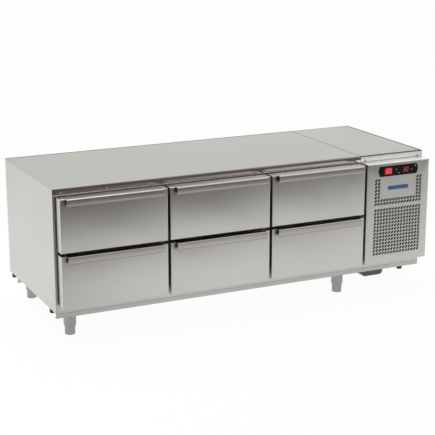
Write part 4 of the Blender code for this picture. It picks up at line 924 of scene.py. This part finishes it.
plate_face = bezel_low[1]
centre_z = (bezel_low[2] + bezel_high[2]) / 2
window_middle = (WINDOW_X, plate_face + SUNK, centre_z)
window = rounded_block("display_window", WINDOW_SIZE, WINDOW_CORNER, WINDOW_PROFILE, window_middle)
settle(window, "control_bezel", black_gloss)

# Segments a to f go round clockwise from the top, and g is the middle one. Each has
# its place across and up, and says whether it is upright.
SEGMENTS = {"a": (0.0, 1.0, 0), "b": (0.5, 0.5, 1), "c": (0.5, -0.5, 1), "d": (0.0, -1.0, 0)}
SEGMENTS.update({"e": (-0.5, -0.5, 1), "f": (-0.5, 0.5, 1), "g": (0.0, 0.0, 0)})
DIGITS = ["abgcd", "abfecd"]
BAR = np.array([(-1, 0), (-0.8, 1), (0.8, 1), (1, 0), (0.8, -1), (-0.8, -1)])
bar_sides = grid_faces(2, len(BAR), wrap_columns=True)
for place, lit_segments in enumerate(DIGITS):
    points, faces = [], []
    for segment in lit_segments:
        x, z, upright = SEGMENTS[segment]
        long_half = (DIGIT_HALF if upright else DIGIT_WIDTH) / 2 - SEGMENT_HALF
        bar = BAR * (long_half, SEGMENT_HALF)
        bar = bar[:, ::-1] if upright else bar
        start = len(points)
        for depth in (0.0, -SEGMENT_PROUD):
            points += [(u + DIGIT_LEAN * v, depth, v) for u, v in bar + (x * DIGIT_WIDTH, z * DIGIT_HALF)]
        faces += [*(start + bar_sides), range(start, start + 6), range(start + 6, start + 12)]
    middle = (WINDOW_X + DIGIT_STEP * (place - 0.5), plate_face + SUNK, centre_z)
    digit = piece_from(f"display_digit_{place + 1}", np.array(points) + middle, faces)
    settle(digit, "control_bezel", red_digit)

LAMP_PLACE = (1.573, 0.004)
LAMP_PROFILE = [(0, -0.0016), (0.0020, -0.0012), (0.0030, -0.0004), (0.0032, 0.0004), (0, 0.0004)]
MARKS = [(1.587, -0.012, 0.0022), (1.6525, 0.0, 0.0020), (1.673, 0.0135, 0.0028)]
MARK_PROUD = 0.0003
lamp_middle = (LEFT_END + LAMP_PLACE[0], plate_face, centre_z + LAMP_PLACE[1])
settle(turned("green_lamp", LAMP_PROFILE, lamp_middle, "y", 20), "control_bezel", green_lamp)
for number, (x, z, size) in enumerate(MARKS, start=1):
    profile = [(0, -MARK_PROUD), (size, -MARK_PROUD), (size, MARK_PROUD), (0, MARK_PROUD)]
    mark = turned(f"printed_mark_{number}", profile, (LEFT_END + x, plate_face, centre_z + z), "y", 16)
    settle(mark, "control_bezel", white_print)

# %% [markdown]
# ## Plate, screws and pads
# A small blank plate sits on the plain field of the panel. Pan-head screws hold the
# top, the panel and the base. Each screw is a dome with a four-lobed recess: the
# recess's radius is a circle's plus a cosine of four times the angle.

# %% The blank plate
PLATE_SIZE = (0.1065, 0.0175)
PLATE_PLACE = (1.5873, 0.4975)
PLATE_CORNER = 0.0016
PLATE_PROFILE = [(0.0, 0.0), (0.0, -0.0008), (0.0005, -0.0012)]
plate_middle = (LEFT_END + PLATE_PLACE[0], panel_face, PLATE_PLACE[1])
badge = rounded_block("blank_plate", PLATE_SIZE, PLATE_CORNER, PLATE_PROFILE, plate_middle)
settle(badge, "grille_panel", badge_enamel)

# %% The screws
LOBES = (0.30, 0.16)
DOME = [(1.0, 0.0), (1.0, -0.0009), (0.86, -0.0019), (0.62, -0.0024)]
RECESS = [(1.08, -0.0025), (1.0, -0.0023), (0.55, -0.0010)]
LIP_SCREWS = [0.0363, 0.2311, 0.4268, 0.5046, 0.7024, 0.900, 0.9565, 1.1677, 1.3800]
SCREWS = [
    ("lip_screw", "worktop", 0.6200, 0.0042, LIP_SCREWS),
    ("panel_screw", "machine_top", 0.6175, 0.0042, [1.4516, 1.7250]),
    ("base_screw", "front_base_rail", 0.1165, 0.0034, [1.4516, 1.5858]),
]


def screw(name, centre, radius):
    """Levels of a dome, then a recess whose outline swells towards four lobes."""
    angle = np.linspace(0, 2 * math.pi, 24, endpoint=False)
    circle = np.stack([np.cos(angle), np.sin(angle)], axis=1)
    lobes = circle * (LOBES[0] + LOBES[1] * np.cos(4 * angle))[:, None]
    levels = [(circle * share, depth) for share, depth in DOME]
    levels += [(lobes * share, depth) for share, depth in RECESS]
    outlines, depths = zip(*levels)
    return levelled(name, np.array(outlines) * radius, depths, centre)


front_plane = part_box("front_frame")[0][1]
for kind, node, z, radius, places in SCREWS:
    for number, x in enumerate(places, start=1):
        settle(screw(f"{kind}_{number}", (LEFT_END + x, front_plane, z), radius), node, inner_steel)
print("screws", sum(len(places) for *_, places in SCREWS))

# %% The pads
PAD = 0.020
PAD_ROUND = 0.002
PAD_CORNER = 0.003
PADS = [(0.0115, 0.082, 0.1015), (0.0115, 0.612, 0.1015), (1.670, 0.029, 0.0815), (1.670, 0.612, 0.0815)]
pad_profile = quarter((PAD_ROUND, 0.0), (0.0, PAD_ROUND), steps=3)
pad_profile += quarter((0.0, PAD - PAD_ROUND), (PAD_ROUND, PAD), False, 3)
for number, (x, y, z) in enumerate(PADS, start=1):
    middle = (LEFT_END + x, front_plane + y, z)
    pad = rounded_block(f"base_pad_{number}", (PAD, PAD), PAD_CORNER, pad_profile, middle, "z")
    settle(pad, "cabinet_shell", pad_rubber)
print("pads", len(PADS))

# %% [markdown]
# ## Legs and feet
# A leg is a tube welded to a round flange. The foot screws up into it on a threaded
# stud, and a dark line shows where the two part. Both are turned shapes, so one
# profile of radius against height gives each.

# %% Turn the legs and feet
LEG_RADIUS = 0.0262
FLANGE = 0.004
CUT = 0.0005
WELD = 0.003
LEG_TAPER = (0.0015, 0.003)
MOUTH_RADIUS, MOUTH_DEPTH = 0.0145, 0.003
BORE_RADIUS, BORE_DEPTH = 0.0100, 0.058
FOOT_RADIUS = 0.0219
FOOT_TOP = 0.040
SOLE = [(-0.003, 0), (-0.0009, 0.0009), (0, 0.003), (0, 0.0335), (0.0004, 0.0345)]
COLLAR = [(0, 0.0365), (0, 0.0392), (-0.0008, FOOT_TOP)]
STUD_RADIUS = 0.0096
STUD_EASE = 0.001
THREAD_PITCH, THREAD_DEPTH, THREAD_POINTS = 0.002, 0.0006, 106

for node in [n for n in nodes if n.startswith("leg_")]:
    low, high = np.array(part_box(node))
    flange, under = (high[0] - low[0]) / 2, high[2] - FLANGE
    profile = [(0, high[2]), (flange - CUT, high[2]), (flange, high[2] - CUT)]
    profile += [(flange, under + CUT), (flange - CUT, under)]
    profile += quarter((LEG_RADIUS + WELD, under), (LEG_RADIUS, under - WELD))
    profile += quarter((LEG_RADIUS, low[2] + LEG_TAPER[1]), (LEG_RADIUS - LEG_TAPER[0], low[2]), False)
    profile += [(MOUTH_RADIUS, low[2]), (BORE_RADIUS, low[2] + MOUTH_DEPTH)]
    profile += [(BORE_RADIUS, low[2] + BORE_DEPTH), (0, low[2] + BORE_DEPTH)]
    leg = turned(node + "_tube", profile, (low + high) / 2 * (1, 1, 0))
    settle(leg, node, painted_shade_leg_steel, node)

for node in [n for n in nodes if n.startswith("foot_")]:
    low, high = np.array(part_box(node))
    neck = (high[0] - low[0]) / 2
    z = np.linspace(FOOT_TOP + STUD_EASE, high[2] - STUD_EASE, THREAD_POINTS)
    profile = [(0, 0)] + [(FOOT_RADIUS + past, height) for past, height in SOLE]
    profile += [(neck + past, height) for past, height in COLLAR] + [(STUD_RADIUS, FOOT_TOP)]
    profile += zip(STUD_RADIUS - THREAD_DEPTH * np.abs((z / THREAD_PITCH) % 1 - 0.5) * 2, z)
    profile += [(0, high[2] - CUT)]
    foot = turned(node + "_turned", profile, (low + high) / 2 * (1, 1, 0))
    settle(foot, node, painted_shade_leg_steel, node)

# %% [markdown]
# ## Drip tray
# The pan under the machine is pressed from one sheet. From its rim the wall comes
# down at a slope and turns into the bottom on a wide radius. Drawn in level by level,
# that is again a rounded rectangle, and Solidify gives the sheet its thickness.

# %% Press the tray
TRAY_RIM = 0.008
TRAY_FOLD = 0.002
TRAY_SLOPE = (0.007, 0.009)
TRAY_ROUND = 0.020
TRAY_CORNER = 0.026
TRAY_SHEET = 0.0012
TRAY_INSIDE = (0.0002, 0.0004)
TRAY_BEND = 0.006

low, high = np.array(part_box("drip_tray"))
floor_low, wall_top = low[2] + TRAY_INSIDE[0], high[2] - TRAY_INSIDE[1]
wall_low = low[2] + TRAY_ROUND + TRAY_BEND
round_start = TRAY_RIM + TRAY_SLOPE[1]
profile = [(0.0, wall_top), (TRAY_RIM - TRAY_FOLD, wall_top), (TRAY_RIM, wall_top - TRAY_FOLD)]
profile += [(TRAY_RIM + TRAY_SLOPE[0], wall_low)]
profile += quarter((round_start, floor_low + TRAY_ROUND), (round_start + TRAY_ROUND, floor_low), False, 8)
middle = (low + high) / 2 * (1, 1, 0)
tray = rounded_block("pressed_tray", (high - low)[:2], TRAY_CORNER, profile, middle, "z", closed=(-1,))
if sum(p.normal.z * p.area for p in tray.data.polygons) > 0:
    tray.data.flip_normals()
walled(tray, TRAY_SHEET)
settle(tray, "drip_tray", painted_shade_tray_steel, "drip_tray")
print("tray", len(tray.data.polygons), "faces")

# %% [markdown]
# ## Floor and light
# The unit stands on a plain white floor in a large softly lit room, and the camera
# sees both as white. Polished steel sees more than that: the end of the room behind
# the camera is dark up to a low height, and the left of it dimmer. That gives the fronts
# their deeper tone towards the top and towards the left. One function mixes the
# room's tone from the place or the direction that a reflection meets.

# %% The floor
FLOOR_HALF = 30.0
FLOOR_DROP = 0.0004
corners = [(x * FLOOR_HALF, y * FLOOR_HALF, -FLOOR_DROP) for x, y in ((-1, -1), (1, -1), (1, 1), (-1, 1))]
floor = piece_from("studio_floor", np.array(corners), [(0, 1, 2, 3)])
if floor.data.polygons[0].normal.z < 0:
    floor.data.flip_normals()


PALE_ROOM = (1.0, 1.0, 1.0)
DARK_ROOM = (0.10, 0.08, 0.08)
DARK_UP_TO = (0.45, 0.65)
FLOOR_GLOW = (0.95, 0.65)


def across_lines(direction, slant, none, full):
    """A value that changes across slanted lines: nothing up to one, one from
    another, and blended between. What counts is the dot product with the slant."""
    dot = add_node(direction, "VectorMath", {0: direction, 1: slant}, operation="DOT_PRODUCT")
    return spread(dot.outputs["Value"], 0.0, 1.0, none, full)


def room_tone(direction, slant, near, far, left, right, front, back, loss):
    """Pale behind a near line and dark beyond a far one, up to a height, then dimmed
    at the left of the front by a loss. The camera sees plain white in its place."""
    share = across_lines(direction, (slant, 1.0, 0.0), far, near)
    above = across_lines(direction, (0.0, 0.0, 1.0), *DARK_UP_TO)
    tone = two_tones(combined("ADD", share, above), DARK_ROOM, PALE_ROOM, (0.0, 1.0))
    leftness = across_lines(direction, (1.0, 0.0, 0.0), right, left)
    frontness = across_lines(direction, (0.0, 1.0, 0.0), back, front)
    kept = spread(combined("MULTIPLY", leftness, frontness), 1.0, 1.0 - loss)
    camera_ray = add_node(direction, "LightPath", {}).outputs["Is Camera Ray"]
    inputs = {"Factor": camera_ray, "A": scaled(tone, kept), "B": PALE_ROOM}
    return add_node(direction, "Mix", inputs, data_type="VECTOR").outputs["Result"]


def seen_directly(owner, camera_share=1.0, glossy_share=1.0):
    """A share for camera rays, another for glossy and transmission rays, and nothing
    for the rest."""
    paths = add_node(owner, "LightPath", {}).outputs
    glossy = combined("ADD", paths["Is Glossy Ray"], paths["Is Transmission Ray"])
    glossy = spread(glossy, 0.0, glossy_share)
    return combined("ADD", spread(paths["Is Camera Ray"], 0.0, camera_share), glossy)


surface = bpy.data.materials.new("studio_floor")
surface.use_nodes = True
tree = surface.node_tree
tree.nodes.clear()
# The floor's colour holds painted shade, seen in reflections and by light off the floor but not by the
# camera: dark beyond the far line in front of the unit, and a soft painted shadow at the front-left.
lines = {"near": -1.75, "far": -2.45, "left": -0.9, "right": -0.1, "front": -0.7, "back": -0.1}
tone = room_tone(object_place(tree), slant=0.15, loss=0.30, **lines)
matt = add_node(tree, "BsdfDiffuse", {"Color": tone}).outputs["BSDF"]
glow = add_node(tree, "Emission", {"Color": tone}).outputs["Emission"]
mix = add_node(tree, "MixShader", {"Fac": seen_directly(tree, *FLOOR_GLOW), 1: matt, 2: glow})
add_node(tree, "OutputMaterial", {"Surface": mix.outputs["Shader"]})
surface.cycles.emission_sampling = "NONE"
floor.data.materials.append(surface)

# %% The room and the lamps
AMBIENT = 0.75

room = bpy.data.worlds.new("studio_room")
bpy.context.scene.world = room
room.use_nodes = True
tree = room.node_tree
direction = add_node(tree, "TexCoord", {}).outputs["Generated"]
lines = {"near": -0.25, "far": -0.60, "left": 0.28, "right": 0.56, "front": 2.0, "back": 3.0}
tone = room_tone(direction, slant=1.0, loss=0.12, **lines)
brightness = spread(seen_directly(tree), AMBIENT, 1.0)
feed(tree.nodes["Background"], {"Color": tone, "Strength": brightness})


def softbox(name, place, target, size, power):
    """A large rectangular lamp that faces a target."""
    data = bpy.data.lights.new(name, "AREA")
    data.shape = "RECTANGLE"
    data.size, data.size_y = size
    data.energy = power
    lamp = bpy.data.objects.new(name, data)
    lamp.location = place
    aim = Vector(target) - Vector(place)
    lamp.rotation_euler = aim.to_track_quat("-Z", "Y").to_euler()
    bpy.context.scene.collection.objects.link(lamp)


softbox("overhead_softbox", (-0.6, 0.8, 3.6), (0.0, 0.0, 0.4), size=(3.0, 2.4), power=60.0)
softbox("left_softbox", (-3.8, -0.8, 2.0), (0.0, 0.0, 0.3), size=(2.0, 2.0), power=30.0)
bpy.context.scene.view_settings.view_transform = "Standard"
